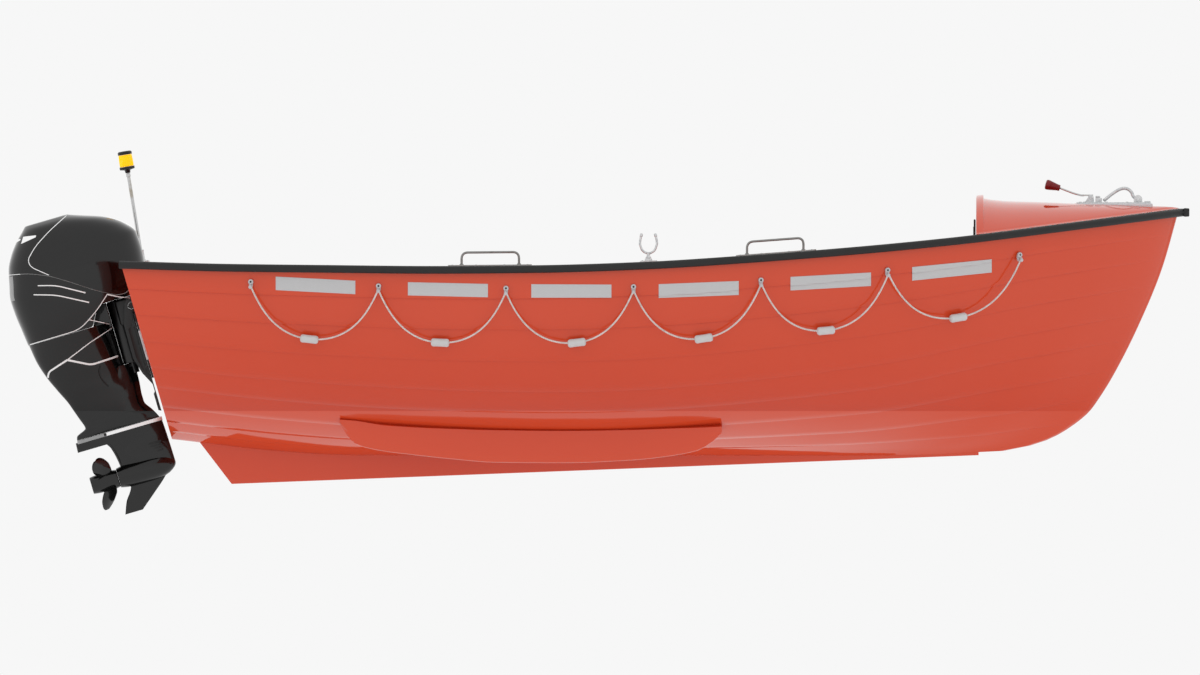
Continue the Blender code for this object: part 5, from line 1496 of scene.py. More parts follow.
# Gunwale fittings

def gunwale_plate(x_start, x_end, y_start, y_end, thickness, round_ends=0.010):
    """Plate that follows the gunwale's top, with rounded corners."""
    rings = []
    stops = spread((x_start, x_end), 0.004)
    middle = (y_start + y_end) / 2
    half = (y_end - y_start) / 2
    for x in stops:
        near = min(x - x_start, x_end - x)
        pinch = 0.0
        if near < round_ends:
            pinch = round_ends - math.sqrt(round_ends ** 2 - (round_ends - near) ** 2)
        low = gunwale_at(x)[1] + 0.0003
        a, b = middle - half + pinch, middle + half - pinch
        rings.append([(x, a, low), (x, a, low + thickness - 0.0012),
                      (x, a + 0.0012, low + thickness), (x, b - 0.0012, low + thickness),
                      (x, b, low + thickness - 0.0012), (x, b, low)])
    return loft(rings)


# x of each handrail's plate and legs, from its aft end
HANDRAILS = (
    ("aft", -0.851, -0.795, -0.559, -0.506),
    ("fore", 0.333, 0.378, 0.610, 0.662),
)
HANDRAIL_RISE = 0.0540
HANDRAIL_RADIUS = 0.0048
screw_places = {}


def add_screws(body, places):
    """Keeps the place, direction and head radius of each screw for the screw fields."""
    screw_places.setdefault(body, []).extend(places)


for side_name, sign in SIDES:
    for place, aft, leg_aft, leg_fore, fore in HANDRAILS:
        node_low, node_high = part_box("handrail_" + place + "_" + side_name)
        y = (node_low.y + node_high.y) / 2
        low_aft = gunwale_at(leg_aft)[1] + 0.001
        low_fore = gunwale_at(leg_fore)[1] + 0.001
        path = rounded_path([(leg_aft, y, low_aft), (leg_aft, y, low_aft + HANDRAIL_RISE),
                             (leg_fore, y, low_fore + HANDRAIL_RISE), (leg_fore, y, low_fore)],
                            0.030, 10)
        parts = [gunwale_plate(aft, fore, y - 0.018, y + 0.018, 0.0036),
                 bar(path, HANDRAIL_RADIUS, 24, ends=False)]
        for x, low in ((leg_aft, low_aft), (leg_fore, low_fore)):
            parts.append(turned(((0.0050, 0.0), (0.0088, 0.0), (0.0082, 0.0034), (0.0052, 0.0062),
                                 (0.0047, 0.0064)), (x, y, low + 0.0025), (0, 0, 1), 28))
        piece("handrail_tube_" + place + "_" + side_name, joined(*parts), "hull", STEEL_SATIN,
              "stainless", "handrail_" + place + "_" + side_name)
        add_screws("hull", [((x, y, gunwale_at(x)[1] + 0.0038), (0, 0, 1), 0.0042)
                            for x in (aft + 0.018, leg_aft + 0.060, leg_fore - 0.060,
                                      fore - 0.018)])

ROWLOCK_X = -0.027
ROWLOCK_Y = 0.83136
for side_name, sign in SIDES:
    top = gunwale_at(ROWLOCK_X)[1]
    y = sign * ROWLOCK_Y
    socket = gunwale_plate(ROWLOCK_X - 0.035, ROWLOCK_X + 0.035, y - 0.020, y + 0.020, 0.004, 0.014)
    cup = turned(((0.0076, 0.0), (0.0150, 0.0), (0.0146, 0.0070), (0.0130, 0.0100),
                  (0.0105, 0.0108), (0.0078, 0.0104)), (ROWLOCK_X, y, top + 0.0035), (0, 0, 1), 36,
                 hollow=True)
    piece("rowlock_cup_" + side_name, joined(socket, cup), "hull", ZINC, "galvanised",
          "rowlock_socket_" + side_name)
    add_screws("hull", [((ROWLOCK_X + dx, y + dy, top + 0.0041), (0, 0, 1), 0.0036)
                        for dx in (-0.025, 0.025) for dy in (-0.011, 0.011)])
    horn = [(-0.0285, 0.1125), (-0.0335, 0.092), (-0.0355, 0.072)]
    horn += arc((0.0, 0.066), 0.0315, 190, 350, 15)
    horn += [(0.0355, 0.072), (0.0335, 0.092), (0.0285, 0.1125)]
    horns = bar(rounded_path([(ROWLOCK_X + x, y, top + z) for x, z in horn], 0.008, 3), 0.0046, 20)
    tips = [turned(pill(0.0062, 0.016, 0.0055), (ROWLOCK_X + x, y, top + 0.1085), (dx, 0, 1), 24)
            for x, dx in ((-0.0292, 0.22), (0.0292, -0.22))]
    stem = turned(((0.0008, 0.0060), (0.0060, 0.0062), (0.0066, 0.0075), (0.0066, 0.0150),
                   (0.0110, 0.0155), (0.0113, 0.0175), (0.0104, 0.0195), (0.0072, 0.0225),
                   (0.0066, 0.0280), (0.0078, 0.0350), (0.0075, 0.0385), (0.0008, 0.0390)),
                  (ROWLOCK_X, y, top), (0, 0, 1), 32)
    piece("rowlock_horns_" + side_name, joined(horns, stem, *tips), "oar_rowlock_" + side_name,
          ZINC, "galvanised", "rowlock_" + side_name, smooth=45.0)


# All-round light on its pole

POLE_LEAN = math.radians(9.3)
POLE_FOOT = Vector((-2.107, 0.648, up(0.9165)))
POLE_AXIS = Vector((-math.sin(POLE_LEAN), 0.0, math.cos(POLE_LEAN)))
foot_top = gunwale_at(POLE_FOOT.x)[1]
base_plate = gunwale_plate(POLE_FOOT.x - 0.030, POLE_FOOT.x + 0.030, POLE_FOOT.y - 0.024,
                           POLE_FOOT.y + 0.024, 0.005, 0.012)
sleeve_foot = POLE_FOOT - POLE_AXIS * (POLE_FOOT.z - foot_top - 0.0035) / POLE_AXIS.z
sleeve = turned(((0.0074, 0.0), (0.0160, 0.0), (0.0125, 0.0060), (0.0118, 0.0380),
                 (0.0128, 0.0400), (0.0128, 0.0440), (0.0118, 0.0450), (0.0074, 0.0450)),
                sleeve_foot, POLE_AXIS, 32, hollow=True)
thumb = turned(((0.0008, 0.0), (0.0030, 0.0), (0.0030, 0.0090), (0.0062, 0.0095),
                (0.0062, 0.0130), (0.0050, 0.0140), (0.0008, 0.0142)),
               sleeve_foot + POLE_AXIS * 0.026 + Vector((0, -0.010, 0)), (0, -1, 0), 20)
piece("pole_socket", joined(base_plate, sleeve, thumb), "hull", ZINC, "galvanised",
      "pole_bracket")
add_screws("hull", [((POLE_FOOT.x + dx, POLE_FOOT.y + dy, foot_top + 0.0053), (0, 0, 1), 0.0036)
                    for dx in (-0.022, 0.022) for dy in (-0.016, 0.016)])
pole_start = sleeve_foot + POLE_AXIS * 0.0085
pole_end = POLE_FOOT + POLE_AXIS * 0.366
collar = turned(((0.0071, 0.0), (0.0092, 0.001), (0.0092, 0.013), (0.0071, 0.014)),
                pole_end - POLE_AXIS * 0.016, POLE_AXIS, 28, hollow=True)
pole = bar([pole_start, (pole_start + pole_end) / 2, pole_end], 0.0070, 28, ends=False)
piece("light_pole_tube", joined(pole, collar), "hull", STEEL, "stainless", "light_pole")
LAMP_START = pole_end + POLE_AXIS * 0.0003


# Piece, node it stands for, material and slot; ribs, their depth, segments; then the profile
LAMP = (
    ("lamp_housing", "lamp_base", ABS_BLACK, "lamp_black", 40, 0.0007, 160, (
        (0.0010, 0.0, 0), (0.0090, 0.0, 0), (0.0100, 0.0010, 0), (0.0120, 0.0115, 0),
        (0.0140, 0.0128, 0), (0.0285, 0.0152, 0), (0.0306, 0.0165, 0), (0.0310, 0.0180, 1),
        (0.0310, 0.0255, 1), (0.0302, 0.0268, 0), (0.0010, 0.0270, 0))),
    ("lamp_dome", "lamp_lens", LENS, "lens_yellow", 36, 0.0010, 180, (
        (0.0010, 0.0273, 0), (0.0272, 0.0273, 0), (0.0286, 0.0284, 1), (0.0290, 0.0330, 1),
        (0.0288, 0.0430, 1), (0.0285, 0.0540, 1), (0.0280, 0.0650, 1), (0.0275, 0.0745, 1),
        (0.0268, 0.0758, 0), (0.0010, 0.0760, 0))),
    ("lamp_lid", "lamp_cap", ABS_BLACK, "lamp_black", 24, 0.0006, 144, (
        (0.0010, 0.0763, 0), (0.0286, 0.0763, 0), (0.0292, 0.0772, 1), (0.0292, 0.0850, 1),
        (0.0284, 0.0872, 0), (0.0262, 0.0894, 0), (0.0225, 0.0908, 0), (0.0010, 0.0915, 0))),
)
for name, node, material, slot, ribs, depth, segments, profile in LAMP:
    shape = turned(profile, LAMP_START, POLE_AXIS, segments, ribs=ribs, depth=depth)
    piece(name, shape, "hull", material, slot, node)


# Lifting hook with its release lever

HOOK_PIVOT = Vector((1.9853, 0.0, up(1.1705)))
LEVER_PIVOT = Vector((1.7910, 0.0, up(1.1765)))
PLATE_TOP = up(1.1580)
hook_parts = [block((1.7321, -0.045, up(1.1535) + 0.0003), (2.0387, 0.045, PLATE_TOP), 0.0015, 3)]
for sign in (1, -1):
    lug = arc((HOOK_PIVOT.x, HOOK_PIVOT.z), 0.0175, 0, 180, 25)
    lug += [(HOOK_PIVOT.x + dx, PLATE_TOP - 0.002) for dx in (-0.0175, 0.0175)]
    hook_parts.append(slab(lug, sign * 0.016 - 0.004, sign * 0.016 + 0.004, 0.0009))
    cheek = arc((LEVER_PIVOT.x, LEVER_PIVOT.z), 0.012, 0, 180, 21)
    cheek += [(LEVER_PIVOT.x + dx, PLATE_TOP - 0.002) for dx in (-0.026, 0.015)]
    hook_parts.append(slab(cheek, sign * 0.0165 - 0.003, sign * 0.0165 + 0.003, 0.0007))
# Radius and length of the nut at each end of a pivot pin
PIN_NUT = ((0.0008, 0.0), (0.0085, 0.0), (0.0085, 0.0030), (0.0072, 0.0042), (0.0008, 0.0044))
for centre, half in ((HOOK_PIVOT, 0.022), (LEVER_PIVOT, 0.021)):
    hook_parts.append(bar([centre + Vector((0, d, 0)) for d in (-half + 0.002, 0, half - 0.002)],
                          0.0048, 24))
    for sign in (1, -1):
        end = centre + Vector((0, sign * (half - 0.0022), 0))
        hook_parts.append(turned(PIN_NUT, end, (0, sign, 0), 6))
for low, high in (((1.8106, -0.020, PLATE_TOP - 0.003), (1.8370, 0.020, up(1.1760))),
                  ((1.8106, -0.012, up(1.1755)), (1.8300, 0.012, up(1.1840))),
                  ((2.0116, -0.020, PLATE_TOP - 0.003), (2.0370, 0.020, up(1.163)))):
    hook_parts.append(block(low, high, 0.0022, 3))
piece("hook_plate", joined(*hook_parts), "hull", ZINC, "galvanised", "hook_base")
for x in (1.7480, 1.7640, 1.8560, 1.9400):
    for y in (-0.033, 0.033):
        add_screws("hull", [((x, y, PLATE_TOP + 0.0002), (0, 0, 1), 0.0062)])
ARCH = ((1.8460, 1.1660), (1.8660, 1.1820), (1.8821, 1.1952), (1.9096, 1.2120),
        (1.9297, 1.2165), (1.9480, 1.2110), (1.9610, 1.1970), (1.9640, 1.1830), (1.9760, 1.1735))
arch = bar(rounded_path([(x, 0.0, up(h)) for x, h in ARCH], 0.012, 5), 0.0068, 24)
eye_ring = turned(((0.0062, -0.0112), (0.0098, -0.0112), (0.0105, -0.0104), (0.0105, 0.0104),
                   (0.0098, 0.0112), (0.0062, 0.0112)), HOOK_PIVOT, (0, 1, 0), 36, hollow=True)
piece("hook_horn", joined(arch, eye_ring), "hook", ZINC, "galvanised", "hook_arm", smooth=45.0)
arm = block((LEVER_PIVOT.x - 0.048, -0.010, LEVER_PIVOT.z + 0.0075),
            (LEVER_PIVOT.x + 0.010, 0.010, LEVER_PIVOT.z + 0.0133), 0.0016, 3)
shank = bar(rounded_path([LEVER_PIVOT + Vector(p) for p in
                          ((-0.126, 0.0, 0.0395), (-0.070, 0.0, 0.0180), (-0.040, 0.0, 0.0100),
                           (-0.028, 0.0, 0.0100))], 0.015, 6), 0.0040, 20)
hub = turned(((0.0062, -0.0122), (0.0098, -0.0122), (0.0105, -0.0115), (0.0105, 0.0115),
              (0.0098, 0.0122), (0.0062, 0.0122)), LEVER_PIVOT, (0, 1, 0), 36, hollow=True)
piece("lever_bar", joined(arm, shank, hub), "lever", STEEL, "galvanised", "release_lever",
      smooth=40.0)
grip_start = LEVER_PIVOT + Vector((-0.1268, 0.0, 0.0397))
grip_axis = Vector((-0.0560, 0.0, 0.0154)).normalized()
grip_rows = [(0.0040, 0.0), (0.0105, 0.0), (0.0118, 0.0010), (0.0128, 0.0040)]
for i in range(8):
    z = 0.008 + 0.005 * i
    radius = 0.0135 + (0.0210 - 0.0135) * (z - 0.012) / 0.036
    grip_rows += [(radius, z), (radius + 0.0003, z + 0.0022), (radius - 0.0004, z + 0.0032)]
grip_rows += [(0.0208, 0.050), (0.0205, 0.055), (0.0188, 0.0592), (0.0140, 0.0612), (0.0010, 0.062)]
piece("lever_knob", turned(grip_rows, grip_start, grip_axis, 48), "lever", PVC_RED, "grip_red",
      "lever_grip")


# Outboard engine: cowl, leg, gearcase and propeller

def plan_ring(z, back, front, half_width, power, count=72):
    """Level ring between a back and a front, squarer as the power grows."""
    middle = (back + front) / 2
    reach = (front - back) / 2
    ring = []
    for i in range(count):
        angle = (i + 0.5) * 2 * math.pi / count
        c, s = math.cos(angle), math.sin(angle)
        ring.append((middle + reach * math.copysign(abs(c) ** (2 / power), c),
                     half_width * math.copysign(abs(s) ** (2 / power), s), z))
    return ring


COWL_POWER = 2.8
LEG_POWER = 2.2


def cowl_row(z, shrink=0.0):
    """Plan of the cowl at a height."""
    _, back, front, half = table_row(COWL, z)
    return z, back + shrink, front - shrink, half - shrink


def leg_row(z):
    """Plan of the drive leg at a height."""
    return table_row(LEG[::-1], z)


def skin_half(row, x, power):
    """Half width of a plan ring at x."""
    _, back, front, half = row
    share = abs(x - (back + front) / 2) / ((front - back) / 2)
    return half * max(0.0, 1 - share ** power) ** (1 / power) if share < 1 else 0.0


def engine_skin(x, z):
    """Half width of the cowl or the leg at x and z."""
    if z > -0.030:
        return skin_half(cowl_row(z), x, COWL_POWER)
    return skin_half(leg_row(z), x, LEG_POWER)


def cowl_solid(shrink, low, high, steps):
    """Cowl's form between two heights, or a smaller one."""
    rings = []
    for i in range(steps + 1):
        z = low + (high - low) * i / steps
        rings.append(plan_ring(*cowl_row(z, shrink), COWL_POWER))
    if not shrink:
        z, back, front, half = cowl_row(high)
        for rise, aft, fore, share in ((0.0030, 0.004, 0.006, 0.86), (0.0040, 0.016, 0.020, 0.6)):
            rings.append(plan_ring(high + rise, back + aft, front - fore, half * share, COWL_POWER))
    return loft(rings)


def cowl_hollow():
    """Space inside the cowls, 6 mm from their outside."""
    return cowl_solid(0.006, 0.060, 0.437, 40)


def zone(outline):
    """Outline of x and z carried right through the engine."""
    return slab(outline, -0.3, 0.3)


def softened(outline, radius, steps=8):
    """Open outline of x and z with its corners rounded."""
    return [(p.x, p.z) for p in rounded_path([(x, 0.0, z) for x, z in outline], radius, steps)]


seam = softened(UPPER_SEAM, 0.030)
upper = cut(cowl_solid(0.0, -0.020, COWL_TOP - 0.0040, 56),
            zone(seam + [(0.25, 0.6), (-0.45, 0.6)]), "INTERSECT")
upper = cut(upper, cowl_hollow())
# x, z of the slit under the cowl's rear lip and of the groove that sets the lip off
SLIT = ((-0.304, 0.380), (-0.287, 0.406), (-0.235, 0.397), (-0.238, 0.390))
LIP_GROOVE = ((-0.360, 0.4045), (-0.3025, 0.4010), (-0.3005, 0.3960), (-0.360, 0.3830))
for outline in (SLIT, LIP_GROOVE):
    upper = cut(upper, zone(outline))
engine_piece("cowl_upper_moulding", upper, ENAMEL, "cowl_upper")

low_seam = [(x, z - 0.0022) for x, z in seam]
floor_line = list(reversed(softened(COWL_FLOOR, 0.012, 4)))
lower = cut(cowl_solid(0.0, -0.034, COWL_TOP - 0.0040, 60), zone(low_seam + floor_line),
            "INTERSECT")
TILLER_X = 0.214
TILLER_Z = 0.118
lower = cut(lower, block((0.110, -0.024, TILLER_Z - 0.016), (TILLER_X - 0.024, 0.024,
                                                            TILLER_Z + 0.016), 0.005, 4), "UNION")
for sign in (1, -1):
    lower = cut(lower, block((0.120, sign * 0.018 - 0.005, TILLER_Z - 0.013),
                             (TILLER_X + 0.013, sign * 0.018 + 0.005, TILLER_Z + 0.013),
                             0.0035, 4), "UNION")
lower = cut(lower, cowl_hollow())
pin = bar([(TILLER_X, d, TILLER_Z) for d in (-0.020, 0.0, 0.020)], 0.0058, 24)
engine_piece("cowl_lower_casting", joined(lower, pin), ENAMEL, "cowl_lower")


def seal_strip():
    """Rubber seal that shows as a thin line between the two cowls."""
    rings = []
    for x, z in seam:
        if not -0.40 < x < 0.155:
            continue
        rings.append((x, z - 0.0011))
    works = []
    for sign in (1, -1):
        points = [Vector((x, sign * (engine_skin(x, z) - 0.0028), z)) for x, z in rings
                  if engine_skin(x, z) > 0.02]
        works.append(bar(points, 0.0022, 10))
    return joined(*works)


engine_piece("cowl_seal", seal_strip(), GREY_VINYL_AND_HIGHLIGHT, smooth=60.0)

leg_steps = 70
leg = loft([plan_ring(*leg_row(-0.0302 + (-0.461 + 0.0302) * i / leg_steps), LEG_POWER, 64)
            for i in range(leg_steps + 1)])
# z and x of the front of the leg's nose, below the swivel column
LEG_NOSE = ((SWIVEL_FOOT - 0.0004, 0.0030), (-0.2190, 0.0055), (-0.2400, 0.0070),
            (-0.3000, 0.0050), (-0.3450, 0.0000))
leg = cut(leg, loft([plan_ring(z, -0.200, front, 0.034, LEG_POWER, 64) for z, front in LEG_NOSE]),
          "UNION")
leg = cut(leg, slab(LEG_NECK, -LEG_NECK_HALF_WIDTH, LEG_NECK_HALF_WIDTH, 0.003), "UNION")
# x, z along the curved groove in the leg's side
LEG_GROOVE = ((-0.131, -0.190), (-0.145, -0.216), (-0.141, -0.250), (-0.123, -0.281))
for sign in (1, -1):
    line = [(x, sign * (engine_skin(x, z) + 0.0012), z) for x, z in LEG_GROOVE]
    leg = cut(leg, bar(rounded_path(line, 0.02), 0.0034, 12))
engine_piece("drive_leg_casting", leg, ENAMEL, "drive_leg")


def flat_plate(outline, low, high, bevel):
    """Outline of x and y made solid between two values of z."""
    return prism([(x, y, low) for x, y in outline], [(x, y, high) for x, y in outline], 2, bevel)


def eased_table(table, steps):
    """Rows of a table from high to low with smooth rows between them."""
    high, low = table[0][0], table[-1][0]
    return [table_row(table[::-1], high + (low - high) * i / steps) for i in range(steps + 1)]


half_plan = arc((0.0, 0.0), 0.052, 90, 0, 14)
side = [(-0.309, 0.045), (-0.304, 0.062), (-0.290, 0.075), (-0.262, 0.087), (-0.220, 0.0965),
        (-0.170, 0.098), (-0.120, 0.093), (-0.060, 0.070)]
plan = side + half_plan
plan = plan + [(x, -y) for x, y in reversed(plan)]
plate = flat_plate(plan, -0.4775, -0.4613, 0.003)
strut = loft([plan_ring(*row, 2.0, 56) for row in eased_table(STRUT, 30)])
torpedo_rows = [(0.0010, 0.0), (0.0100, 0.0030), (0.0180, 0.0090), (0.0270, 0.0200),
                (0.0360, 0.0350), (0.0425, 0.0540), (0.0470, 0.0750), (0.0492, 0.0970),
                (0.0500, 0.1200), (0.0500, 0.1500), (0.0490, 0.1900), (0.0468, 0.2150),
                (0.0430, 0.2330), (0.0405, 0.2445), (0.0385, 0.2450), (0.0010, 0.2450)]
torpedo = turned(torpedo_rows, (0.056, 0.0, PROPELLER_Z), (-1, 0, 0), 64)
skeg = loft([plan_ring(*row, 2.0, 40) for row in eased_table(SKEG, 24)])
tab = loft([plan_ring(*row, 2.0, 40) for row in TRIM_TAB])
gearcase = plate
for part in (strut, torpedo, skeg, tab):
    gearcase = cut(gearcase, part, "UNION")
engine_piece("gearcase_casting", gearcase, ENAMEL, "gearcase", smooth=40.0)
intake = [block((-0.030, sign * 0.0245 - 0.004, -0.560 - 0.012 * i),
                (0.022, sign * 0.0245 + 0.004, -0.5535 - 0.012 * i), 0.0016, 2)
          for sign in (1, -1) for i in range(4)]
for name, near, far, material in (("gearcase_band_fore", -0.190, 0.06, VINYL),
                                  ("gearcase_band_aft", -0.32, -0.1902, GREY_VINYL_AND_HIGHLIGHT)):
    edge = [(x * 1.004, y * 1.007) for x, y in plan if near <= x <= far]
    if far > 0:
        edge = [(near, 0.0972)] + edge + [(near, -0.0972)]
    else:
        half = len(edge) // 2
        edge = edge[:half] + [(far, 0.0972), (far, -0.0972)] + edge[half:]
    engine_piece(name, flat_plate(edge, -0.4762, -0.4626, 0.001), material)
engine_piece("water_intake_grilles", joined(*intake), ABS_BLACK)


HUB_X = -0.1893
BLADE_ROOT = 0.020
BLADE_REACH = 0.0990
# Radius, half chord of a blade
BLADE_CHORDS = ((0.020, 0.0200), (0.035, 0.0270), (0.055, 0.0370), (0.075, 0.0430),
                (0.095, 0.0400), (0.108, 0.0320), (0.116, 0.0215), (0.1190, 0.0100))


def blade(index):
    """Propeller blade: airfoil sections, skewed back and pitched about its radius."""
    turn = (Matrix.Translation((HUB_X, 0.0, PROPELLER_Z))
            @ Matrix.Rotation(math.radians(BLADE_ANGLE + 120 * index), 4, "X"))
    rings = []
    for i in range(29):
        radius = BLADE_ROOT + BLADE_REACH * i / 28
        half_chord = blend_table(BLADE_CHORDS, radius)
        thick = 0.0042 * (1 - 0.72 * (radius - BLADE_ROOT) / 0.1)
        pitch = math.atan2(0.075, max(radius, 0.03)) + 0.15
        middle = Vector((-0.0422 - 0.35 * (radius - 0.03), 0.0, radius))
        way = Vector((math.sin(pitch), math.cos(pitch), 0.0))
        across = Vector((math.cos(pitch), -math.sin(pitch), 0.0))
        ring = []
        for angle in turn_angles(28):
            s = math.cos(angle)
            camber = 0.0030 * (1 - s * s)
            point = middle + way * half_chord * s + across * (thick * math.sin(angle) * 0.8 * (
                1 - 0.35 * s) + camber)
            ring.append(turn @ point)
        rings.append(ring)
    return loft(rings)


hub_rows = ((0.0010, 0.0), (0.0350, 0.0), (0.0362, 0.0012), (0.0385, 0.0130), (0.0400, 0.0300),
            (0.0396, 0.0600), (0.0380, 0.0900), (0.0362, 0.1040), (0.0345, 0.1140),
            (0.0330, 0.1150), (0.0290, 0.1148), (0.0280, 0.1060), (0.0165, 0.1050),
            (0.0155, 0.1130), (0.0090, 0.1145), (0.0010, 0.1150))
propeller = turned(hub_rows, (HUB_X, 0.0, PROPELLER_Z), (-1, 0, 0), 56)
for i in range(3):
    propeller = cut(propeller, blade(i), "UNION")
engine_piece("propeller_casting", propeller, ENAMEL, "propeller", body="propeller_spin",
             smooth=40.0)


# Vinyl lines and streaks on the engine

def ribbon(points, widths, lift=0.0006, sides=(1, -1), limit=0.006):
    """Thin strip laid on the engine's skin along points of x and z."""
    path = [Vector((x, 0.0, z)) for x, z in points]
    lengths = running_lengths(path)
    steps = max(6, int(lengths[-1] / 0.004))
    works = []
    for sign in sides:
        rings = []
        for i in range(steps + 1):
            j, u = place_along(lengths, lengths[-1] * i / steps)
            centre = path[j].lerp(path[j + 1], u)
            before = path[max(j - (1 if u < 0.5 else 0), 0)]
            after = path[min(j + (2 if u >= 0.5 else 1), len(path) - 1)]
            way = (after - before).normalized()
            across = Vector((-way.z, 0.0, way.x))
            width = widths[0] + (widths[1] - widths[0]) * i / steps
            rows = [centre + across * width * s for s in (-0.5, -0.25, 0.0, 0.25, 0.5)]
            skins = [engine_skin(p.x, p.z) for p in rows]
            if min(skins) < limit:
                continue
            outer = [(p.x, sign * (y + lift), p.z) for p, y in zip(rows, skins)]
            inner = [(p.x, sign * (y - 0.0015), p.z) for p, y in zip(rows, skins)]
            rings.append(outer + inner[::-1])
        if len(rings) > 1:
            works.append(loft(rings))
    return joined(*works)


LINE_A = ((-0.092, 0.440), (-0.179, 0.398), (-0.252, 0.353), (-0.294, 0.311), (-0.295, 0.287),
          (-0.283, 0.269), (-0.230, 0.225))
LINE_B = ((-0.022, 0.082), (0.022, 0.058), (0.063, 0.042))
LINE_C = ((-0.022, 0.082), (-0.074, 0.037), (-0.123, 0.003), (-0.162, -0.019), (-0.194, -0.026),
          (-0.385, -0.0275))
LINE_D = ((-0.123, 0.003), (-0.024, -0.051), (-0.147, -0.089), (-0.255, -0.131), (-0.345, -0.158),
          (-0.355, -0.191))
LINE_E = ((-0.255, -0.131), (-0.166, -0.178), (-0.050, -0.174))
STREAKS = (((-0.286, 0.196), (-0.214, 0.176), (-0.106, 0.113)),
           ((-0.313, 0.165), (-0.225, 0.138), (-0.103, 0.071)))
white = [ribbon(softened(LINE_A, 0.03), (0.0030, 0.0030)),
         ribbon(LINE_B, (0.0050, 0.0040)),
         ribbon(softened(LINE_C, 0.02), (0.0035, 0.0030)),
         ribbon(softened(LINE_D[:4], 0.006), (0.0030, 0.0040)),
         ribbon(softened(LINE_D[3:], 0.02), (0.0075, 0.0065)),
         ribbon(softened(LINE_E, 0.02), (0.0080, 0.0075))]
white += [ribbon(softened(row, 0.03), (0.0040, 0.0050)) for row in STREAKS]
engine_piece("engine_vinyl_lines", joined(*white), VINYL, smooth=60.0)


# Transom bracket and tiller

TILLER_PLACE = (Matrix.Translation((TILLER_X, 0.0, TILLER_Z))
                @ Matrix.Rotation(TILLER_DROOP, 4, "Y"))
rod_path = [(0.0190, 0, 0), (0.060, 0, 0.0008), (0.090, 0, 0.002), (0.150, 0, 0.004)]
tiller = bar([TILLER_PLACE @ p for p in rounded_path(rod_path, 0.02)], 0.0138, 32, ends=False)
knuckle = turned(((0.0066, -0.0113), (0.0200, -0.0113), (0.0214, -0.0100), (0.0214, 0.0100),
                  (0.0200, 0.0113), (0.0066, 0.0113)), (TILLER_X, 0, TILLER_Z), (0, 1, 0), 48,
                 hollow=True)
engine_piece("tiller_casting", joined(tiller, knuckle), CASTING, "tiller_arm", body="tiller",
             slot="bracket_black")
grip_rows = [(0.0010, 0.0), (0.0150, 0.0), (0.0175, 0.0030)]
for i in range(19):
    z = 0.007 + 0.005 * i
    grip_rows += [(0.0172, z), (0.0172, z + 0.0028), (0.0158, z + 0.0034), (0.0158, z + 0.0044)]
grip_rows += [(0.0175, 0.1040), (0.0190, 0.1120), (0.0184, 0.1165), (0.0150, 0.1200),
              (0.0010, 0.1200)]
grip_start = TILLER_PLACE @ Vector((0.1503, 0, 0.004))
grip_end = TILLER_PLACE @ Vector((1.1503, 0, 0.024))
engine_piece("tiller_grip_rubber", turned(grip_rows, grip_start, grip_end - grip_start, 48),
             RUBBER, "tiller_grip", body="tiller", slot="rubber_black")


def hex_head(centre, way, radius, height):
    """Head of a bolt."""
    return turned(((0.0005, -0.002), (radius, -0.002), (radius, height * 0.7),
                   (radius * 0.86, height), (0.0005, height)), centre, way, 6)


def tilt_bore():
    """Bore for the tilt tube."""
    return bar([(TILT_X, d, TILT_Z) for d in (-0.2, 0.0, 0.2)], 0.0144, 32)


PAD_AFT = 0.0587
BRACKET_FACE = PAD_AFT - 0.0003
pad = block((PAD_AFT, -0.200, -0.300), (0.0667, 0.200, -0.024), 0.002, 3)
# Heights in the engine's frame between which the pad is bare; rubber covers the rest
PAD_BARE = (-0.222, -0.098)
for edge in PAD_BARE:
    bmesh.ops.bisect_plane(pad, geom=pad.verts[:] + pad.edges[:] + pad.faces[:],
                           plane_co=(0, 0, edge), plane_no=(0, 0, 1))
for face in pad.faces:
    face.material_index = int(PAD_BARE[0] < face.calc_center_median().z < PAD_BARE[1])
engine_piece("transom_pad_plate", pad, [RUBBER, PAD_NYLON], "transom_pad", body="hull",
             slot="bracket_grey")
for side_name, sign in SIDES:
    outline = arc((TILT_X, TILT_Z), 0.030, 0, 150, 20)
    outline += [*CLAMP_AFT, (BRACKET_FACE, CLAMP_AFT[-1][1] - 0.006), (BRACKET_FACE, -0.0190),
                (0.100, -0.0190), (0.100, -0.006), (0.086, -0.004)]
    clamp = slab(outline, sign * 0.118 - 0.012, sign * 0.118 + 0.012, 0.0018)
    clamp = cut(clamp, block((BRACKET_FACE - 0.009, sign * 0.145 - 0.040, -0.280),
                             (BRACKET_FACE, sign * 0.145 + 0.040, -0.040), 0.003, 3), "UNION")
    pocket = slab(((0.022, -0.080), (0.042, -0.070), (0.042, -0.255), (0.034, -0.262),
                   (0.020, -0.200)), sign * 0.130 - 0.0035, sign * 0.130 + 0.0035, 0.001)
    clamp = cut(clamp, pocket)
    clamp = cut(clamp, tilt_bore())
    bolts = [hex_head((BRACKET_FACE - 0.009, sign * 0.164, z), (-1, 0, 0), 0.008, 0.006)
             for z in (-0.070, -0.160, -0.250)]
    engine_piece("clamp_casting_" + side_name, joined(clamp, *bolts), CASTING,
                 "clamp_bracket_" + side_name, body="hull", slot="bracket_black")

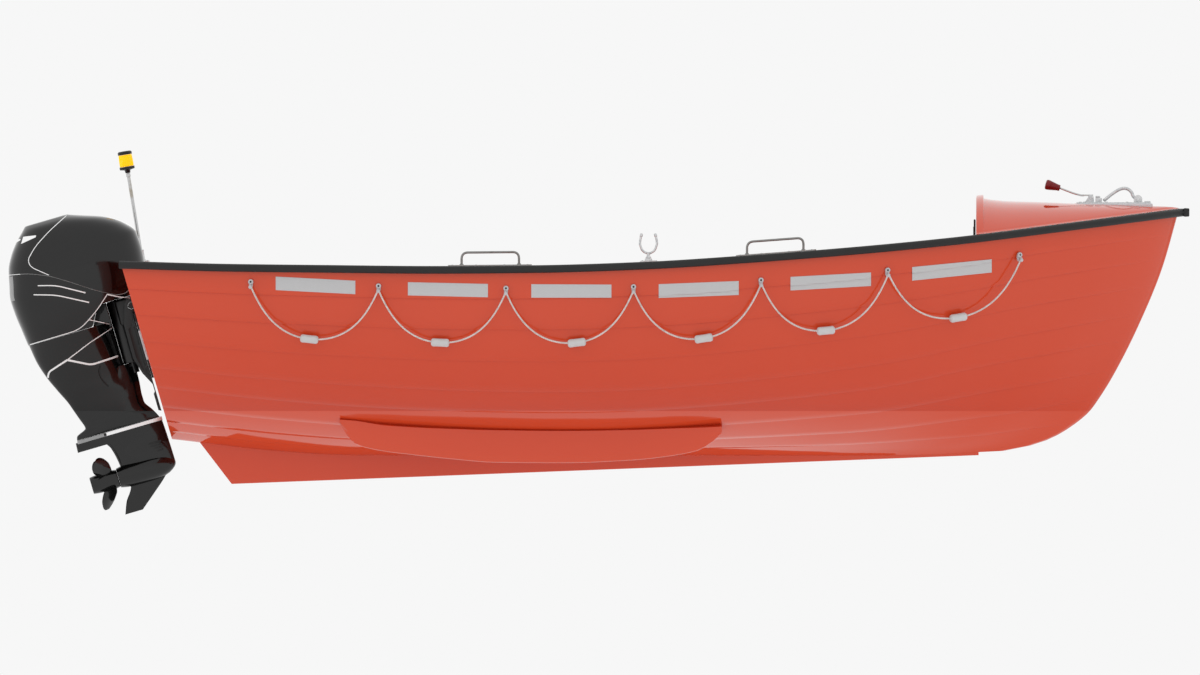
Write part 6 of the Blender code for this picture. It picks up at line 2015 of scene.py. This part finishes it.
swivel = block((-0.005, -0.050, -0.060), (0.078, 0.050, SWIVEL_TOP), 0.012, 6)
sleeve = bar([(TILT_X, d, TILT_Z) for d in (-0.0960, 0.0, 0.0960)], 0.0218, 40)
column = turned(((0.0005, SWIVEL_FOOT), (0.0340, SWIVEL_FOOT),
                 (COLUMN_RADIUS, SWIVEL_FOOT + 0.0020), (COLUMN_RADIUS, 0.0440),
                 (0.0330, SWIVEL_TOP), (0.0005, SWIVEL_TOP)), (0, 0, 0), (0, 0, 1), 64)
for part in (sleeve, column):
    swivel = cut(swivel, part, "UNION")
for tool in (tilt_bore(), bar([(0, 0, d) for d in (-0.3, 0.0, 0.2)], 0.0184, 32)):
    swivel = cut(swivel, tool)
engine_piece("swivel_casting", swivel, CASTING, "swivel_bracket", body="engine_tilt",
             slot="bracket_black")


def rear_highlight_rows():
    """Painted highlight: a light grey strip round the back of the lower cowl, where the gloss of
    its rounded rim catches the light.
    """
    rings = []
    for i in range(15):
        z = 0.164 + 0.098 * i / 14
        _, back, _, _ = cowl_row(z)
        ring = []
        for k in range(-6, 7):
            share = 0.016 * (1 - (k / 6) ** 2)
            x = back + 0.0180 - share
            ring.append((x, math.copysign(engine_skin(x, z), k) if k else 0.0, z))
        rings.append(ring)
    return rings


def thin_skin(rings, lift):
    """Closed strip as thick as the lift and a little more, over rows of points on a surface."""
    centre = Vector((-0.12, 0.0))
    found = []
    for ring in rings:
        outer, inner = [], []
        for x, y, z in ring:
            way = (Vector((x, y)) - centre).normalized()
            outer.append((x + way.x * lift, y + way.y * lift, z))
            inner.append((x - way.x * 0.0015, y - way.y * 0.0015, z))
        found.append(outer + inner[::-1])
    return loft(found)


# Grey strip as a painted highlight on the rounded back of the lower cowl
engine_piece("cowl_rear_painted_highlight", thin_skin(rear_highlight_rows(), 0.0010), GREY_VINYL_AND_HIGHLIGHT, smooth=60.0)


# Screws, by Geometry Nodes: points with a direction and a head radius

def screw_tree():
    """Instances of a dome head with a cross recess on each point, turned to its direction."""
    tree = bpy.data.node_groups.new("screw_field", "GeometryNodeTree")
    face = tree.interface
    face.new_socket("Geometry", in_out="INPUT", socket_type="NodeSocketGeometry")
    dome = face.new_socket("Dome height share", in_out="INPUT", socket_type="NodeSocketFloat")
    slot_width = face.new_socket("Recess width share", in_out="INPUT",
                                 socket_type="NodeSocketFloat")
    face.new_socket("Geometry", in_out="OUTPUT", socket_type="NodeSocketGeometry")
    start = add_node(tree, "NodeGroupInput")
    head = add_node(tree, "GeometryNodeMeshUVSphere", {}, {"Segments": 20, "Rings": 10,
                                                           "Radius": 1.0})
    squat = add_node(tree, "ShaderNodeCombineXYZ", {}, {"X": 1.0, "Y": 1.0,
                                                        "Z": start.outputs[dome.name]})
    low = add_node(tree, "GeometryNodeTransform", {}, {"Geometry": head.outputs["Mesh"],
                                                       "Scale": squat.outputs["Vector"]})
    bars = []
    for axis in ("X", "Y"):
        size = add_node(tree, "ShaderNodeCombineXYZ", {}, {
            "X": start.outputs[slot_width.name], "Y": start.outputs[slot_width.name], "Z": 0.5,
            axis: 1.25})
        cube = add_node(tree, "GeometryNodeMeshCube", {}, {"Size": size.outputs["Vector"]})
        bars.append(add_node(tree, "GeometryNodeTransform", {}, {
            "Geometry": cube.outputs["Mesh"], "Translation": (0.0, 0.0, 0.55)}))
    carved = low.outputs["Geometry"]
    for recess in bars:
        step = add_node(tree, "GeometryNodeMeshBoolean", {"operation": "DIFFERENCE",
                                                          "solver": "EXACT"},
                        {"Mesh 1": carved, "Mesh 2": recess.outputs["Geometry"]})
        carved = step.outputs["Mesh"]
    points = add_node(tree, "GeometryNodeMeshToPoints", {}, {"Mesh": start.outputs["Geometry"]})
    aim = add_node(tree, "GeometryNodeInputNamedAttribute", {"data_type": "FLOAT_VECTOR"},
                   {"Name": "aim"})
    size = add_node(tree, "GeometryNodeInputNamedAttribute", {"data_type": "FLOAT"},
                    {"Name": "head"})
    turn = add_node(tree, "FunctionNodeAlignRotationToVector", {"axis": "Z"},
                    {"Vector": aim.outputs["Attribute"]})
    spot = add_node(tree, "GeometryNodeInstanceOnPoints", {}, {
        "Points": points.outputs["Points"], "Instance": carved,
        "Rotation": turn.outputs["Rotation"], "Scale": size.outputs["Attribute"]})
    real = add_node(tree, "GeometryNodeRealizeInstances", {}, {"Geometry":
                                                               spot.outputs["Instances"]})
    dressed = add_node(tree, "GeometryNodeSetMaterial", {}, {"Geometry": real.outputs["Geometry"],
                                                             "Material": STEEL})
    add_node(tree, "NodeGroupOutput", {}, {"Geometry": dressed.outputs["Geometry"]})
    return tree, dome.identifier, slot_width.identifier


SCREWS, DOME_INPUT, RECESS_INPUT = screw_tree()


def screw_field(body, places):
    """All the screw heads of one body as one piece."""
    mesh = bpy.data.meshes.new("screw_points")
    mesh.from_pydata([place for place, _, _ in places], [], [])
    mesh.attributes.new("aim", "FLOAT_VECTOR", "POINT")
    mesh.attributes.new("head", "FLOAT", "POINT")
    for i, (_, way, radius) in enumerate(places):
        mesh.attributes["aim"].data[i].vector = Vector(way).normalized()
        mesh.attributes["head"].data[i].value = radius
    holder = new_object("screw_points", mesh)
    step = holder.modifiers.new("screws", "NODES")
    step.node_group = SCREWS
    step[DOME_INPUT] = 0.42
    step[RECESS_INPUT] = 0.24
    found = evaluated(holder)
    bpy.data.objects.remove(holder)
    piece("screws_" + body, take_in(bmesh.new(), found), body, STEEL, "stainless", smooth=40.0)


for body, places in screw_places.items():
    screw_field(body, places)


# Finishes of the CAD nodes that stay in sight

CAD_FINISHES = {
    "keelson": GELCOAT, "bulkhead_sill": FLOWCOAT, "bulkhead_port": FLOWCOAT,
    "bulkhead_stbd": FLOWCOAT, "engine_block": ANODE,
    "tilt_tube": CASTING, "steering_shaft": CASTING,
}
for name, material in CAD_FINISHES.items():
    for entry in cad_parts[name].material_slots:
        entry.material = material


# Floor at the waterline, with an opening where the hull passes through

def floor_mesh():
    """Floor with an opening along the hull's waterline."""
    level = DRAUGHT
    ring = []
    for t in STATIONS:
        x = hull_x(t, level)
        y = station_y(t, level) * nose_share(t) - 0.004
        if t == 0.0:
            x += 0.004
        ring.append((min(x, hull_x(1.0, level) - 0.004), max(y, 0.0004)))
    ring = ring + [(x, -y) for x, y in reversed(ring)]
    work = bmesh.new()
    loops = []
    for outline in (ring, [(-40, -40), (40, -40), (40, 40), (-40, 40)]):
        verts = [work.verts.new((x, y, 0.0)) for x, y in outline]
        loops += [work.edges.new((verts[i], verts[(i + 1) % len(verts)]))
                  for i in range(len(verts))]
    bmesh.ops.triangle_fill(work, edges=loops, use_beauty=True, use_dissolve=False,
                            normal=(0, 0, 1))
    mesh = as_mesh(work, "studio_floor")
    mesh.materials.append(FLOOR)
    return mesh


floor = new_object("studio_floor", floor_mesh())
